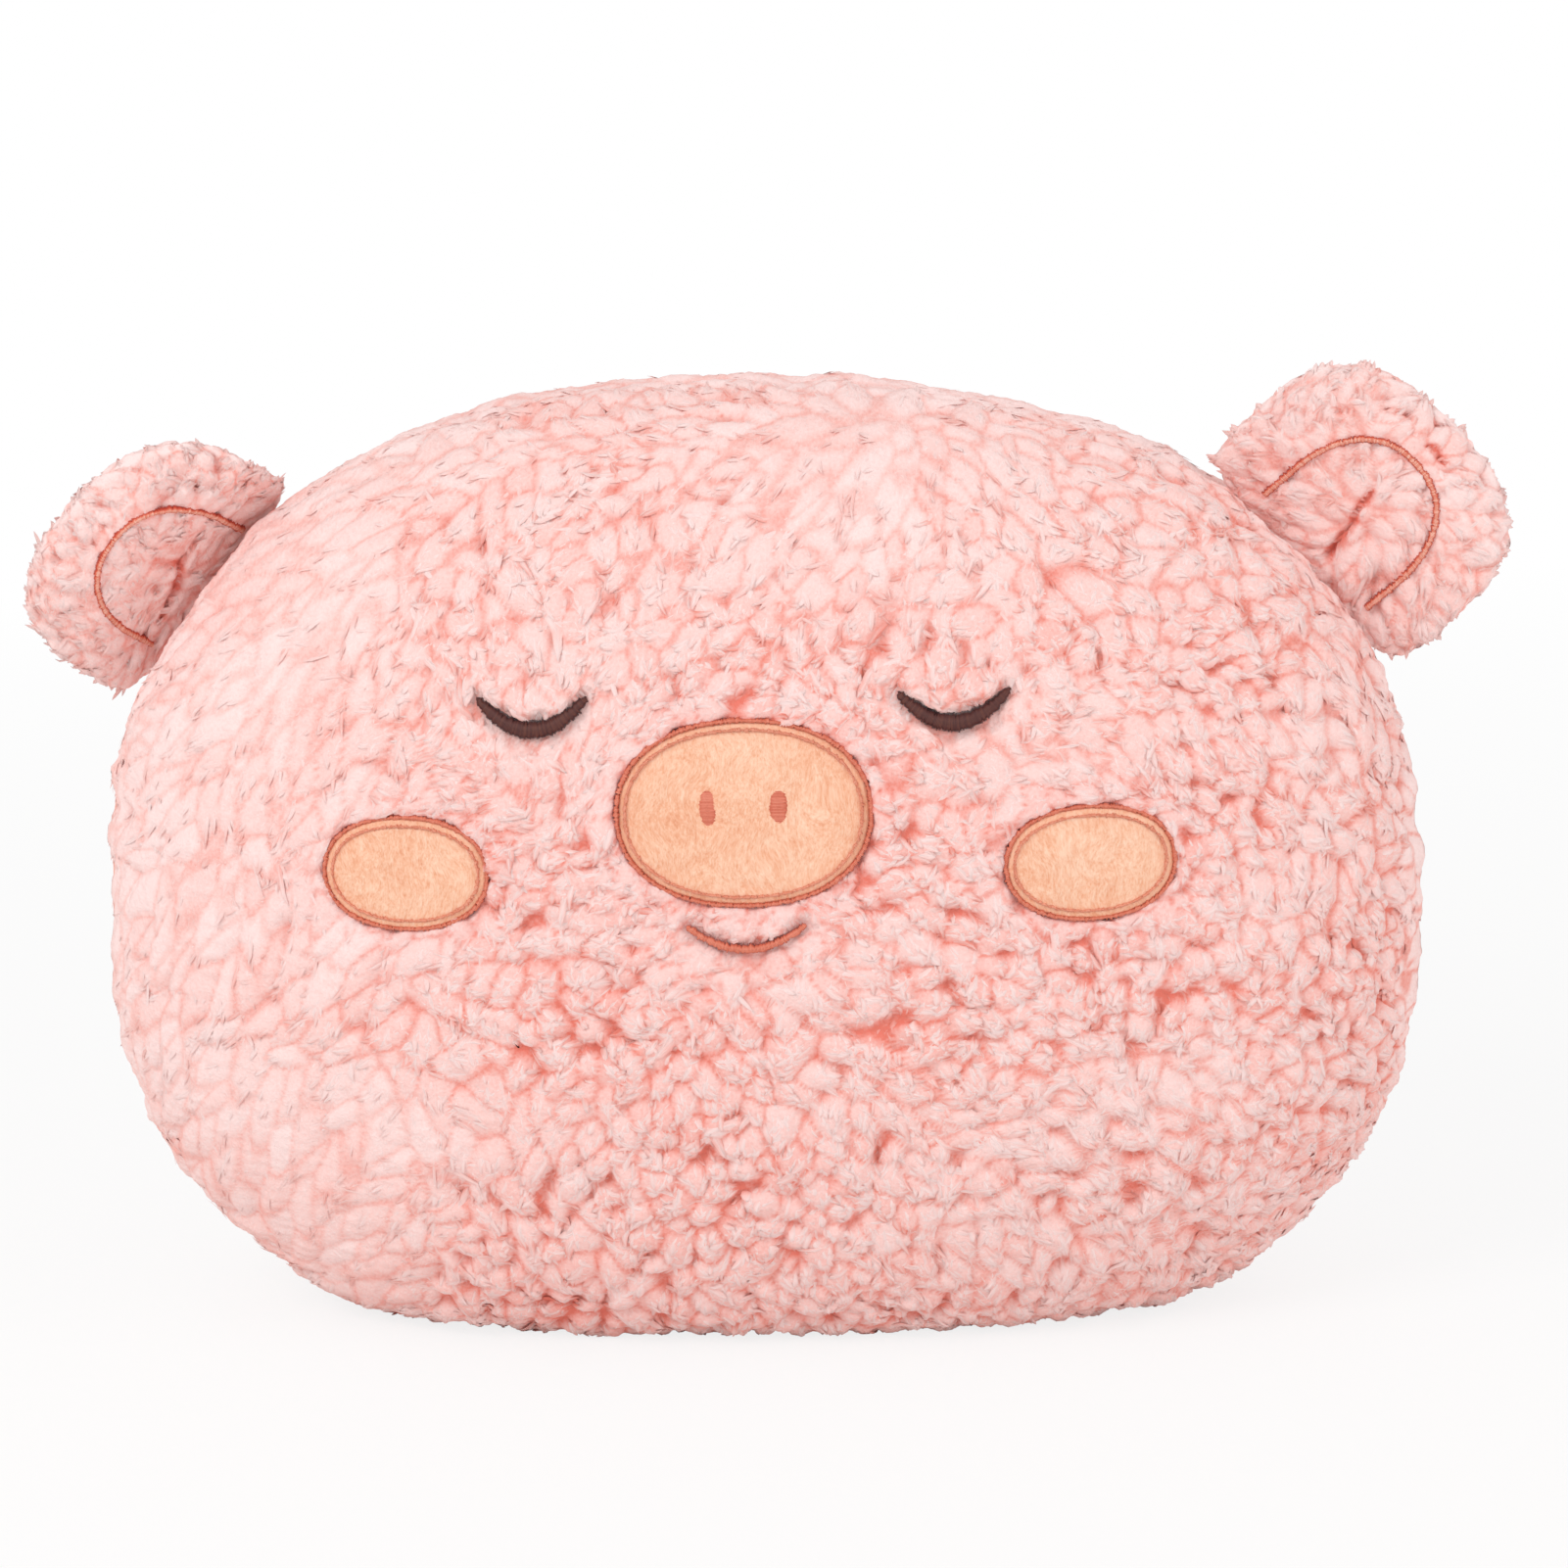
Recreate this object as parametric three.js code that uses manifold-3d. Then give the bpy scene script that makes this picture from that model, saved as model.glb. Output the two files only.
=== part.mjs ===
// Plush hand warmer cushion, in millimetres, with +Z up and the face towards -Y.
// Two sherpa panels meet at a drawn-in seam round a pillow that has settled on its base.
// A lined hand tunnel runs through it from side to side, and two stuffed ears fold at the seam.

import * as THREE from 'three';
import { mergeVertices } from 'three/addons/utils/BufferGeometryUtils.js';
import Module from 'manifold-3d';

const wasm = await Module();
wasm.setup();

// Fits
const clearance = 0.3; // between pieces that touch
const fillingSlack = 0.9; // between an ear's panels and the fill that swells them
const overrun = 20; // how far a cutter runs past what it cuts
const weldDistance = 0.001; // vertices closer than this are one

// Body: its outline in the seam plane, and the crown of its two panels
const bodyHalfWidth = 203;
const bodyHalfDepth = 88;
const bodyRise = 166; // from the widest level up to the top
const bodyDrop = 145; // from the widest level down to the bottom before it settles
const widestLevel = 120; // height of the widest level over the floor
const baseRoll = 5; // softness of the turn from the settled base into the sides
const baseCut = 0.5; // depth of the flat cut where the cushion stands
const coverThickness = 6; // backing and pile
const seamDraw = 5; // how far the seam pulls the panels in
const seamHalfWidth = 8; // half-width of the furrow along the seam
const riseExponent = 2.4;
const dropExponent = 2.45;
const crownExponent = 2.3;
const crownShares = [1, 0.985, 0.94, 0.86, 0.75, 0.61, 0.46, 0.32, 0.2, 0.11, 0.045, 0];
const bodyColumns = 40;

// Hand tunnel
const tunnelLevel = 118;
const tunnelHalfHeight = 55; // inside the lining
const tunnelHalfWidth = 21;
const liningThickness = 3;
const mouthInset = 1.5; // the lining's edge stays this far behind the pile
const tunnelExponent = 2.6;
const tunnelSides = 28;

// Appliqué and embroidery, pressed into the pile
const recessDepth = 3; // pile pressed down under an appliqué or a stitched line
const patchThickness = 2;
const stitchThickness = 2.4;
const borderWidth = 2.5; // satin-stitched edge of a patch
const nostrilThickness = 1.2;
const ovalExponent = 2.2;

const snout = { x: 0, level: 167, halfWidth: 34, halfHeight: 24, columns: 28 };
const cheekGap = 98; // from the centre line to the middle of a cheek
const cheek = { level: 150, halfWidth: 22, halfHeight: 14, columns: 20 };
const nostrilGap = 10;
const nostril = { level: 169, halfWidth: 3, halfHeight: 5.5, columns: 10 };
const eyeGap = 60;
const eye = { level: 200, halfWidth: 16, sag: 9, halfStroke: 2.6, taperShare: 0.6 };
const mouth = { level: 135, halfWidth: 17, sag: 7, halfStroke: 1.3, taperShare: 0.3 };
const strokeSteps = 10;

// Ears: one pattern, sewn into the seam at two places
const earHalfWidth = 43;
const earMiddle = 26; // from the fold line to the ear's widest level
const earTip = 33; // from the widest level to the tip
const earHalfThickness = 14;
const earCoverThickness = 4.5;
const earNeck = 3.6; // half-thickness at the fold line
const earFillingRoot = 8; // the fill starts this far from the fold line
const earTipExponent = 2.6;
const earRootExponent = 4;
const earCrownExponent = 2;
const earNeckSlope = 0.36; // how fast the ear swells from its neck
const earShares = [0, 0.36, 0.62, 0.8, 0.92, 0.98, 1];
const earFillingShares = [0, 0.5, 0.82, 1];
const earColumns = 24;
const earFillingColumns = 16;

// The embroidered line of the inner ear: an arch on two legs that start beside the fold line
const earLine = { halfWidth: 21.5, foot: 4, springing: 14, rise: 26, halfStroke: 1.2, thickness: 1.2 };
const earLineExponent = 2.3;
const earLegSteps = 2;
const earArchSteps = 12;

// Turns, in radians, of the search for the place on the outline beside the fold line
const widestSearch = THREE.MathUtils.degToRad(30);
const finestSearch = THREE.MathUtils.degToRad(0.0001);

const ears = [
  { name: 'left', angle: 149, lean: 34, curl: 12, cup: 3 },
  { name: 'right', angle: 32.7, lean: 8, curl: 3, cup: 5 },
];

const fleece = { color: '#f7c9c1', roughness: 0.95, metalness: 0 };
const fleeceBack = { color: '#f5c4bb', roughness: 0.95, metalness: 0 };
const liningPlush = { color: '#f6bfae', roughness: 0.9, metalness: 0 };
const fibreFill = { color: '#f4f1ec', roughness: 1, metalness: 0 };
const velboa = { color: '#fbc79e', roughness: 0.8, metalness: 0 };
const coralThread = { color: '#df8d78', roughness: 0.6, metalness: 0 };
const brownThread = { color: '#43201a', roughness: 0.6, metalness: 0 };

// Soft minimum of two heights, which rounds the corner where they meet
const softMinimum = (a, b) => (a * b) / Math.hypot(a, b);

// Radius of a superellipse with unequal upper and lower halves, seen at an angle from its middle
function ovalRadius(angle, halfWidth, rise, drop, exponents) {
  const up = Math.sin(angle) >= 0;
  const height = up ? rise : drop;
  const exponent = up ? exponents[0] : exponents[1];
  const across = Math.abs(Math.cos(angle) / halfWidth) ** exponent;
  const along = Math.abs(Math.sin(angle) / height) ** exponent;
  return (across + along) ** (-1 / exponent);
}

// A closed piece between two sheets of points, each a list of rows.
// Rows close on themselves where wraps is true, and a row whose points are all one is a pole.
function solidFromSheets(outer, inner, wraps = true) {
  const positions = [];
  const addTriangle = (a, b, c) => positions.push(...a.toArray(), ...b.toArray(), ...c.toArray());
  const addQuad = (a, b, c, d) => {
    addTriangle(a, b, c);
    addTriangle(a, c, d);
  };
  const columns = outer[0].length;
  const lastColumn = wraps ? columns : columns - 1;
  const next = (j) => (j + 1) % columns;
  const addSheet = (sheet, flipped) => {
    for (let i = 0; i + 1 < sheet.length; i += 1) {
      for (let j = 0; j < lastColumn; j += 1) {
        const [a, b] = [sheet[i][j], sheet[i + 1][j]];
        const [c, d] = [sheet[i + 1][next(j)], sheet[i][next(j)]];
        if (flipped) addQuad(a, d, c, b);
        else addQuad(a, b, c, d);
      }
    }
  };
  addSheet(outer, false);
  addSheet(inner, true);
  const innerLast = inner.at(-1);
  const outerLast = outer.at(-1);
  for (let j = 0; j < lastColumn; j += 1) {
    addQuad(outerLast[j], innerLast[j], innerLast[next(j)], outerLast[next(j)]);
    addQuad(outer[0][next(j)], inner[0][next(j)], inner[0][j], outer[0][j]);
  }
  for (let i = 0; !wraps && i + 1 < outer.length; i += 1) {
    const end = columns - 1;
    addQuad(outer[i][0], inner[i][0], inner[i + 1][0], outer[i + 1][0]);
    addQuad(outer[i + 1][end], inner[i + 1][end], inner[i][end], outer[i][end]);
  }
  return orientedGeometry(positions);
}

// Welds loose triangles, drops the ones that closed up, and turns the faces outwards
function orientedGeometry(positions) {
  const loose = new THREE.BufferGeometry();
  loose.setAttribute('position', new THREE.Float32BufferAttribute(positions, 3));
  const welded = mergeVertices(loose, weldDistance);
  const corner = [new THREE.Vector3(), new THREE.Vector3(), new THREE.Vector3()];
  const kept = [];
  let volume = 0;
  for (let i = 0; i < welded.index.count; i += 3) {
    const triangle = [0, 1, 2].map((k) => welded.index.getX(i + k));
    if (new Set(triangle).size < 3) continue;
    triangle.forEach((vertex, k) => corner[k].fromBufferAttribute(welded.attributes.position, vertex));
    volume += corner[0].dot(corner[1].clone().cross(corner[2]));
    kept.push(triangle);
  }
  if (volume < 0) kept.forEach((triangle) => triangle.reverse());
  welded.setIndex(kept.flat());
  return welded;
}

function toManifold(geometry) {
  const mesh = new wasm.Mesh({
    numProp: 3,
    vertProperties: new Float32Array(geometry.attributes.position.array),
    triVerts: new Uint32Array(geometry.index.array),
  });
  return new wasm.Manifold(mesh);
}

function toGeometry(manifold) {
  const mesh = manifold.getMesh();
  const geometry = new THREE.BufferGeometry();
  geometry.setAttribute('position', new THREE.Float32BufferAttribute(mesh.vertProperties, 3));
  geometry.setIndex([...mesh.triVerts]);
  return geometry;
}

const cut = (geometry, ...cutters) =>
  toGeometry(cutters.reduce((solid, cutter) => solid.subtract(toManifold(cutter)), toManifold(geometry)));

// Body surface

const bodyRadius = (angle, inset) =>
  ovalRadius(angle, bodyHalfWidth - inset, bodyRise - inset, bodyDrop - inset, [riseExponent, dropExponent]);

// The weight of the cushion flattens what would reach below the floor
function settle(level, inset) {
  const above = level + baseCut - inset;
  const pressed = Math.max(above, 0) + baseRoll * Math.log1p(Math.exp(-Math.abs(above) / baseRoll));
  return inset + Math.max(0, pressed - baseCut);
}

// A point of one panel: share is its depth as a share of the crown, 0 at the seam and 1 in the middle
function bodyPoint(angle, share, side, inset) {
  const depth = Math.max(clearance / 2, share * (bodyHalfDepth - inset));
  const swell = (1 - share ** crownExponent) ** (1 / crownExponent);
  const furrow = seamDraw * Math.exp(-((depth / seamHalfWidth) ** 2));
  const radius = (bodyRadius(angle, inset) - furrow) * swell;
  const level = settle(widestLevel + radius * Math.sin(angle), inset);
  return new THREE.Vector3(radius * Math.cos(angle), side * depth, level);
}

function bodySheet(side, inset) {
  const turn = (j) => (2 * Math.PI * j) / bodyColumns;
  const columns = Array.from({ length: bodyColumns }, (_, j) => turn(j));
  return crownShares.map((share) => columns.map((angle) => bodyPoint(angle, share, side, inset)));
}

// The front panel's surface over a point of the seam plane
function onFace(x, level, inset) {
  const rise = level - widestLevel;
  const share = Math.hypot(x, rise) / bodyRadius(Math.atan2(rise, x), inset);
  const depth = (bodyHalfDepth - inset) * (1 - share ** crownExponent) ** (1 / crownExponent);
  return new THREE.Vector3(x, -depth, level);
}

// Hand tunnel

function tunnelSolid(growth, halfLength) {
  const halfWidth = tunnelHalfWidth + growth;
  const halfHeight = tunnelHalfHeight + growth;
  const outline = new THREE.Shape();
  for (let j = 0; j < tunnelSides; j += 1) {
    const angle = (2 * Math.PI * j) / tunnelSides;
    const exponents = [tunnelExponent, tunnelExponent];
    const radius = ovalRadius(angle, halfWidth, halfHeight, halfHeight, exponents);
    const point = [radius * Math.cos(angle), radius * Math.sin(angle)];
    if (j === 0) outline.moveTo(...point);
    else outline.lineTo(...point);
  }
  const geometry = new THREE.ExtrudeGeometry(outline, { depth: 2 * halfLength, bevelEnabled: false });
  geometry.translate(0, 0, -halfLength);
  geometry.rotateX(Math.PI / 2).rotateZ(Math.PI / 2).translate(0, 0, tunnelLevel);
  return orientedGeometry([...geometry.attributes.position.array]);
}

const tunnelReach = bodyHalfWidth + overrun;
const tunnelCutter = tunnelSolid(liningThickness + clearance, tunnelReach);

function coverSolid(side) {
  return solidFromSheets(bodySheet(side, 0), bodySheet(side, coverThickness));
}

function fillingSolid(side) {
  const crown = bodySheet(side, coverThickness + clearance);
  const rim = crown.at(-1);
  const middle = new THREE.Vector3(0, rim[0].y, widestLevel);
  return cut(solidFromSheets(crown, [rim.map(() => middle), rim]), tunnelCutter);
}

function liningSolid() {
  const body = toManifold(solidFromSheets(bodySheet(-1, mouthInset), bodySheet(1, mouthInset)));
  const tube = toManifold(tunnelSolid(liningThickness, bodyHalfWidth)).intersect(body);
  return toGeometry(tube.subtract(toManifold(tunnelSolid(0, tunnelReach))));
}

// Appliqué and embroidery. A surface is a function that places two coordinates and an inset.

function ovalRing(surface, oval, growth, inset) {
  const halfWidth = oval.halfWidth + growth;
  const halfHeight = oval.halfHeight + growth;
  return Array.from({ length: oval.columns }, (_, j) => {
    const angle = (2 * Math.PI * j) / oval.columns;
    const radius = ovalRadius(angle, halfWidth, halfHeight, halfHeight, [ovalExponent, ovalExponent]);
    return surface(oval.x + radius * Math.cos(angle), oval.level + radius * Math.sin(angle), inset);
  });
}

function ovalSolid(surface, oval, growth, top, bottom) {
  const sheet = (inset) => {
    const middle = surface(oval.x, oval.level, inset);
    const smaller = { ...oval, halfWidth: oval.halfWidth / 2, halfHeight: oval.halfHeight / 2 };
    const halfway = ovalRing(surface, smaller, 0, inset);
    return [halfway.map(() => middle), halfway, ovalRing(surface, oval, growth, inset)];
  };
  return solidFromSheets(sheet(top), sheet(bottom));
}

function borderSolid(surface, oval, top, bottom) {
  const sheet = (inset) => [
    ovalRing(surface, oval, clearance, inset),
    ovalRing(surface, oval, clearance + borderWidth, inset),
  ];
  return solidFromSheets(sheet(top), sheet(bottom));
}

// A stitched line along a path, as wide as its stroke, which narrows towards the ends
function strokeSolid(surface, path, steps, growth, top, bottom) {
  const sheet = (inset) =>
    Array.from({ length: steps + 1 }, (_, i) => {
      const { at, across } = path(i / steps, growth);
      return [-1, 1].map((side) => surface(at.x + side * across.x, at.y + side * across.y, inset));
    });
  return solidFromSheets(sheet(top), sheet(bottom), false);
}

// A hanging arc, such as a closed eye or a smile
const hangingArc = (arc) => (share, growth) => {
  const along = 2 * share - 1;
  const reach = arc.halfWidth + growth;
  const at = new THREE.Vector2(arc.x + along * reach, arc.level - arc.sag * (1 - along * along));
  const halfStroke = arc.halfStroke * (1 - arc.taperShare * along * along) + growth;
  const slope = new THREE.Vector2(reach, 2 * arc.sag * along).normalize();
  const across = new THREE.Vector2(-slope.y, slope.x).multiplyScalar(halfStroke);
  return { at, across };
};

const mirrored = (shape, gap) => [
  { ...shape, name: 'left', x: -gap },
  { ...shape, name: 'right', x: gap },
];

const cheeks = mirrored(cheek, cheekGap);
const nostrils = mirrored(nostril, nostrilGap);
const eyes = mirrored(eye, eyeGap);
const smile = { ...mouth, x: 0 };

const patchTop = recessDepth - patchThickness;
const stitchTop = recessDepth - stitchThickness;
const nostrilBase = patchTop - clearance;

function faceRecesses() {
  const recess = recessDepth + clearance;
  const rim = borderWidth + 2 * clearance;
  const patches = [snout, ...cheeks].map((oval) => ovalSolid(onFace, oval, rim, -overrun, recess));
  const lines = [...eyes, smile].map((arc) =>
    strokeSolid(onFace, hangingArc(arc), strokeSteps, clearance, -overrun, recess));
  return [...patches, ...lines];
}

// Ears, each in a frame of its own: x along the fold line, z outwards from the seam, y as the body's

const earRootReach = seamDraw - clearance; // the ear's edge reaches this far into the seam's furrow
const earRoot = earMiddle + earRootReach;

function earSeat(ear) {
  const angle = THREE.MathUtils.degToRad(ear.angle);
  const radius = bodyRadius(angle, 0);
  const x = radius * Math.cos(angle);
  const rise = radius * Math.sin(angle);
  const slope = (value, size) => (Math.sign(value) * Math.abs(value / size) ** (riseExponent - 1)) / size;
  const turn = Math.atan2(slope(x, bodyHalfWidth), slope(rise, bodyRise));
  return { x, rise, turn, angle };
}

// How far the body's outline falls away from the fold line at a distance along it
function outlineFall(seat, distance) {
  const along = (angle) => {
    const radius = bodyRadius(angle, 0);
    const x = radius * Math.cos(angle) - seat.x;
    const rise = radius * Math.sin(angle) - seat.rise;
    return [
      x * Math.cos(seat.turn) - rise * Math.sin(seat.turn),
      -(x * Math.sin(seat.turn) + rise * Math.cos(seat.turn)),
    ];
  };
  let angle = seat.angle;
  for (let turn = widestSearch; turn > finestSearch; turn /= 2) {
    angle += along(angle)[0] > distance ? turn : -turn;
  }
  return along(angle)[1];
}

const earRadius = (angle, inset) =>
  ovalRadius(angle, earHalfWidth - inset, earTip - inset, earRoot - inset, [earTipExponent, earRootExponent]);

// Half-thickness of the ear at a place of its plane, less an inset
function earHeight(across, outwards, inset) {
  const rise = outwards - earMiddle;
  const share = Math.min(1, Math.hypot(across, rise) / earRadius(Math.atan2(rise, across), inset));
  const crown = (earHalfThickness - inset) * (1 - share ** earCrownExponent) ** (1 / earCrownExponent);
  const neck = Math.max(clearance, earNeck + earNeckSlope * outwards - inset);
  return Math.max(clearance / 2, softMinimum(crown, neck));
}

// Bends the flat ear: its root follows the body, its sides cup forward, and its upper edge curls over
function bendEar(ear, across, outwards, lift) {
  const reach = earMiddle + earTip;
  const fade = Math.min(1, Math.max(0, 1 - outwards / reach));
  const swing = Math.min(1, Math.max(0, outwards / earMiddle));
  const upward = ear.name === 'left' ? across : -across;
  const cupped = ear.cup * (across / earHalfWidth) ** 2;
  const curled = ear.curl * (Math.max(0, upward) / earHalfWidth) ** 2;
  const forward = (cupped + curled) * swing;
  return new THREE.Vector3(across, lift - forward, outwards - ear.fall(across) * fade);
}

function earSheet(ear, side, inset, shares, columns, root) {
  return shares.map((share) =>
    Array.from({ length: columns }, (_, j) => {
      const angle = (2 * Math.PI * j) / columns;
      const exponents = [earTipExponent, earRootExponent];
      const radius = share * ovalRadius(angle, earHalfWidth - inset, earTip - inset, root, exponents);
      const across = radius * Math.cos(angle);
      const outwards = earMiddle + radius * Math.sin(angle);
      return bendEar(ear, across, outwards, side * earHeight(across, outwards, inset));
    }));
}

function earPanel(ear, side) {
  const sheet = (inset) => earSheet(ear, side, inset, earShares, earColumns, earRoot - inset);
  return solidFromSheets(sheet(0), sheet(earCoverThickness));
}

function earFilling(ear) {
  const inset = earCoverThickness + fillingSlack;
  const root = earMiddle - earFillingRoot;
  const sheet = (side) => earSheet(ear, side, inset, earFillingShares, earFillingColumns, root);
  return solidFromSheets(sheet(-1), sheet(1));
}

const onEar = (ear) => (across, outwards, inset) =>
  bendEar(ear, across, outwards, inset - earHeight(across, outwards, 0));

// The middle of the inner ear's line, up one leg, over the arch and down the other
function earLineSpots() {
  const leg = (side) =>
    Array.from({ length: earLegSteps }, (_, i) => {
      const share = i / earLegSteps;
      const outwards = earLine.foot + share * (earLine.springing - earLine.foot);
      return new THREE.Vector2(side * earLine.halfWidth, outwards);
    });
  const arch = Array.from({ length: earArchSteps + 1 }, (_, i) => {
    const angle = (Math.PI * i) / earArchSteps;
    const exponents = [earLineExponent, earLineExponent];
    const radius = ovalRadius(angle, earLine.halfWidth, earLine.rise, earLine.rise, exponents);
    return new THREE.Vector2(radius * Math.cos(angle), earLine.springing + radius * Math.sin(angle));
  });
  return [...leg(1), ...arch, ...leg(-1).reverse()];
}

// Walks the spots of a line as a path for a stroke of even width
function spotPath(spots, halfStroke) {
  return (share) => {
    const i = Math.round(share * (spots.length - 1));
    const [before, after] = [spots[Math.max(0, i - 1)], spots[Math.min(spots.length - 1, i + 1)]];
    const slope = after.clone().sub(before).normalize();
    return { at: spots[i], across: new THREE.Vector2(-slope.y, slope.x).multiplyScalar(halfStroke) };
  };
}

function earLineSolid(ear) {
  const spots = earLineSpots();
  const path = spotPath(spots, earLine.halfStroke);
  const top = -clearance - earLine.thickness;
  return strokeSolid(onEar(ear), path, spots.length - 1, 0, top, -clearance);
}

// Assembly

function piece(name, geometry, finish) {
  const mesh = new THREE.Mesh(geometry, new THREE.MeshStandardMaterial(finish));
  mesh.name = name;
  mesh.geometry.computeVertexNormals();
  return mesh;
}

function buildBody() {
  const body = new THREE.Group();
  body.add(
    piece('front_cover', cut(coverSolid(-1), tunnelCutter, ...faceRecesses()), fleece),
    piece('back_cover', cut(coverSolid(1), tunnelCutter), fleeceBack),
    piece('front_filling', fillingSolid(-1), fibreFill),
    piece('back_filling', fillingSolid(1), fibreFill),
    piece('pocket_lining', liningSolid(), liningPlush),
  );
  return body;
}

function buildFace() {
  const face = new THREE.Group();
  const patch = (oval) => ovalSolid(onFace, oval, 0, patchTop, recessDepth);
  const border = (oval) => borderSolid(onFace, oval, stitchTop, recessDepth);
  const line = (arc) => strokeSolid(onFace, hangingArc(arc), strokeSteps, 0, stitchTop, recessDepth);
  const dot = (oval) => ovalSolid(onFace, oval, 0, nostrilBase - nostrilThickness, nostrilBase);
  face.add(piece('snout_patch', patch(snout), velboa));
  face.add(piece('snout_border', border(snout), coralThread));
  face.add(piece('mouth_stitching', line(smile), coralThread));
  for (const oval of nostrils) face.add(piece(`${oval.name}_nostril`, dot(oval), coralThread));
  for (const oval of cheeks) {
    face.add(piece(`${oval.name}_cheek`, patch(oval), velboa));
    face.add(piece(`${oval.name}_cheek_border`, border(oval), coralThread));
  }
  for (const arc of eyes) face.add(piece(`${arc.name}_eye`, line(arc), brownThread));
  return face;
}

function buildEar(ear) {
  const seat = earSeat(ear);
  const shape = { ...ear, fall: (distance) => outlineFall(seat, distance) };
  const group = new THREE.Group();
  group.add(
    piece(`${ear.name}_ear_front`, earPanel(shape, -1), fleece),
    piece(`${ear.name}_ear_back`, earPanel(shape, 1), fleeceBack),
    piece(`${ear.name}_ear_filling`, earFilling(shape), fibreFill),
    piece(`${ear.name}_ear_stitching`, earLineSolid(shape), coralThread),
  );
  group.rotation.order = 'YXZ';
  group.rotation.set(THREE.MathUtils.degToRad(ear.lean), seat.turn, 0);
  group.position.set(seat.x, 0, widestLevel + seat.rise);
  return group;
}

const group = new THREE.Group();
group.add(buildBody(), buildFace(), ...ears.map(buildEar));

export default group;
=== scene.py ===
# Plush hand warmer cushion: fleece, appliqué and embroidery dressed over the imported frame
import math

import bpy
import numpy as np
from mathutils import Matrix, Vector


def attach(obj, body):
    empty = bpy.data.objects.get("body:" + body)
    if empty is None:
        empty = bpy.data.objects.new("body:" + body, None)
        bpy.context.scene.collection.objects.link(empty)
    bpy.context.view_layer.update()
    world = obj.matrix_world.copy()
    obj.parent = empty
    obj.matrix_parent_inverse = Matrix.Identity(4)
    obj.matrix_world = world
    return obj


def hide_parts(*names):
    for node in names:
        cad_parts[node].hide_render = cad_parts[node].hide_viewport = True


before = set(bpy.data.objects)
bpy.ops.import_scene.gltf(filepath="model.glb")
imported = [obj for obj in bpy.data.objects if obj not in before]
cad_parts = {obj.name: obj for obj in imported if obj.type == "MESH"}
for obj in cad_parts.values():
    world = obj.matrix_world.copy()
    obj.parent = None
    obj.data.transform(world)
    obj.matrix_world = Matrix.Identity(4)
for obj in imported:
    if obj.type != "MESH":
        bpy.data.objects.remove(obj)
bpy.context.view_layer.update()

mm = 0.001  # shapes are worked out in millimetres and stored in metres
tau = 2 * math.pi


# Shader nodes

class Wire:
    # An output socket. An expression on it adds the Math nodes that work it out.
    def __init__(self, tree, socket):
        self.tree = tree
        self.socket = socket

    def math(self, operation, *values, clamp=False):
        node = self.tree.nodes.new("ShaderNodeMath")
        node.operation = operation
        node.use_clamp = clamp
        for slot, value in zip(node.inputs, values):
            connect(self.tree, value, slot)
        return Wire(self.tree, node.outputs[0])

    def __add__(self, other):
        return self.math("ADD", self, other)

    def __radd__(self, other):
        return self.math("ADD", other, self)

    def __sub__(self, other):
        return self.math("SUBTRACT", self, other)

    def __rsub__(self, other):
        return self.math("SUBTRACT", other, self)

    def __mul__(self, other):
        return self.math("MULTIPLY", self, other)

    def __rmul__(self, other):
        return self.math("MULTIPLY", other, self)

    def __pow__(self, other):
        return self.math("POWER", self, other)

    def clamped(self):
        return self.math("ADD", self, 0, clamp=True)

    def size(self):
        return self.math("ABSOLUTE", self)


def connect(tree, value, slot):
    if isinstance(value, Wire):
        tree.links.new(value.socket, slot)
    else:
        slot.default_value = value


def linear(code):
    # A colour written as #rrggbb, in the linear values that sockets take
    parts = [int(code[i:i + 2], 16) / 255 for i in (1, 3, 5)]
    return tuple(p / 12.92 if p <= 0.04045 else ((p + 0.055) / 1.055) ** 2.4 for p in parts) + (1.0,)


class Finish:
    # One material: its Principled shader, and nodes made by type, settings and sockets
    def __init__(self, name, **sockets):
        self.material = bpy.data.materials.new(name)
        self.material.use_nodes = True
        self.tree = self.material.node_tree
        self.shader = self.tree.nodes["Principled BSDF"]
        self.feed(**sockets)

    def feed(self, **sockets):
        for name, value in sockets.items():
            connect(self.tree, value, self.shader.inputs[name.replace("_", " ")])
        return self

    def node(self, kind, settings=None, inputs=None, output=0):
        node = self.tree.nodes.new(kind)
        for name, value in (settings or {}).items():
            if name == "stops":
                stops = node.color_ramp.elements
                while len(stops) < len(value):
                    stops.new(0.5)
                for stop, (position, colour) in zip(stops, value):
                    stop.position = position
                    stop.color = linear(colour)
            else:
                setattr(node, name, value)
        for name, value in (inputs or {}).items():
            connect(self.tree, value, node.inputs[name])
        return Wire(self.tree, node.outputs[output])

    def field(self, name, output=2):
        return self.node("ShaderNodeAttribute", {"attribute_name": name}, output=output)

    def noise(self, vector, scale, detail=2.0, roughness=0.5):
        return self.node("ShaderNodeTexNoise", None,
                         {"Vector": vector, "Scale": scale, "Detail": detail, "Roughness": roughness})

    def place(self):
        return self.node("ShaderNodeTexCoord", output=3)

    def stretch(self, vector, x, y, z):
        return self.node("ShaderNodeVectorMath", {"operation": "MULTIPLY"}, {0: vector, 1: (x, y, z)})

    def ramp(self, factor, stops):
        return self.node("ShaderNodeValToRGB", {"stops": stops}, {0: factor})

    def mixed(self, factor, first, second):
        return self.node("ShaderNodeMix", {"data_type": "RGBA"}, {0: factor, 6: first, 7: second}, output=2)

    def bump(self, height, distance, strength):
        return self.node("ShaderNodeBump", None,
                         {"Height": height, "Distance": distance, "Strength": strength})


# Shape helpers: arrays of points in millimetres

def unit(vectors):
    return vectors / np.maximum(np.linalg.norm(vectors, axis=-1, keepdims=True), 1e-9)


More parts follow.
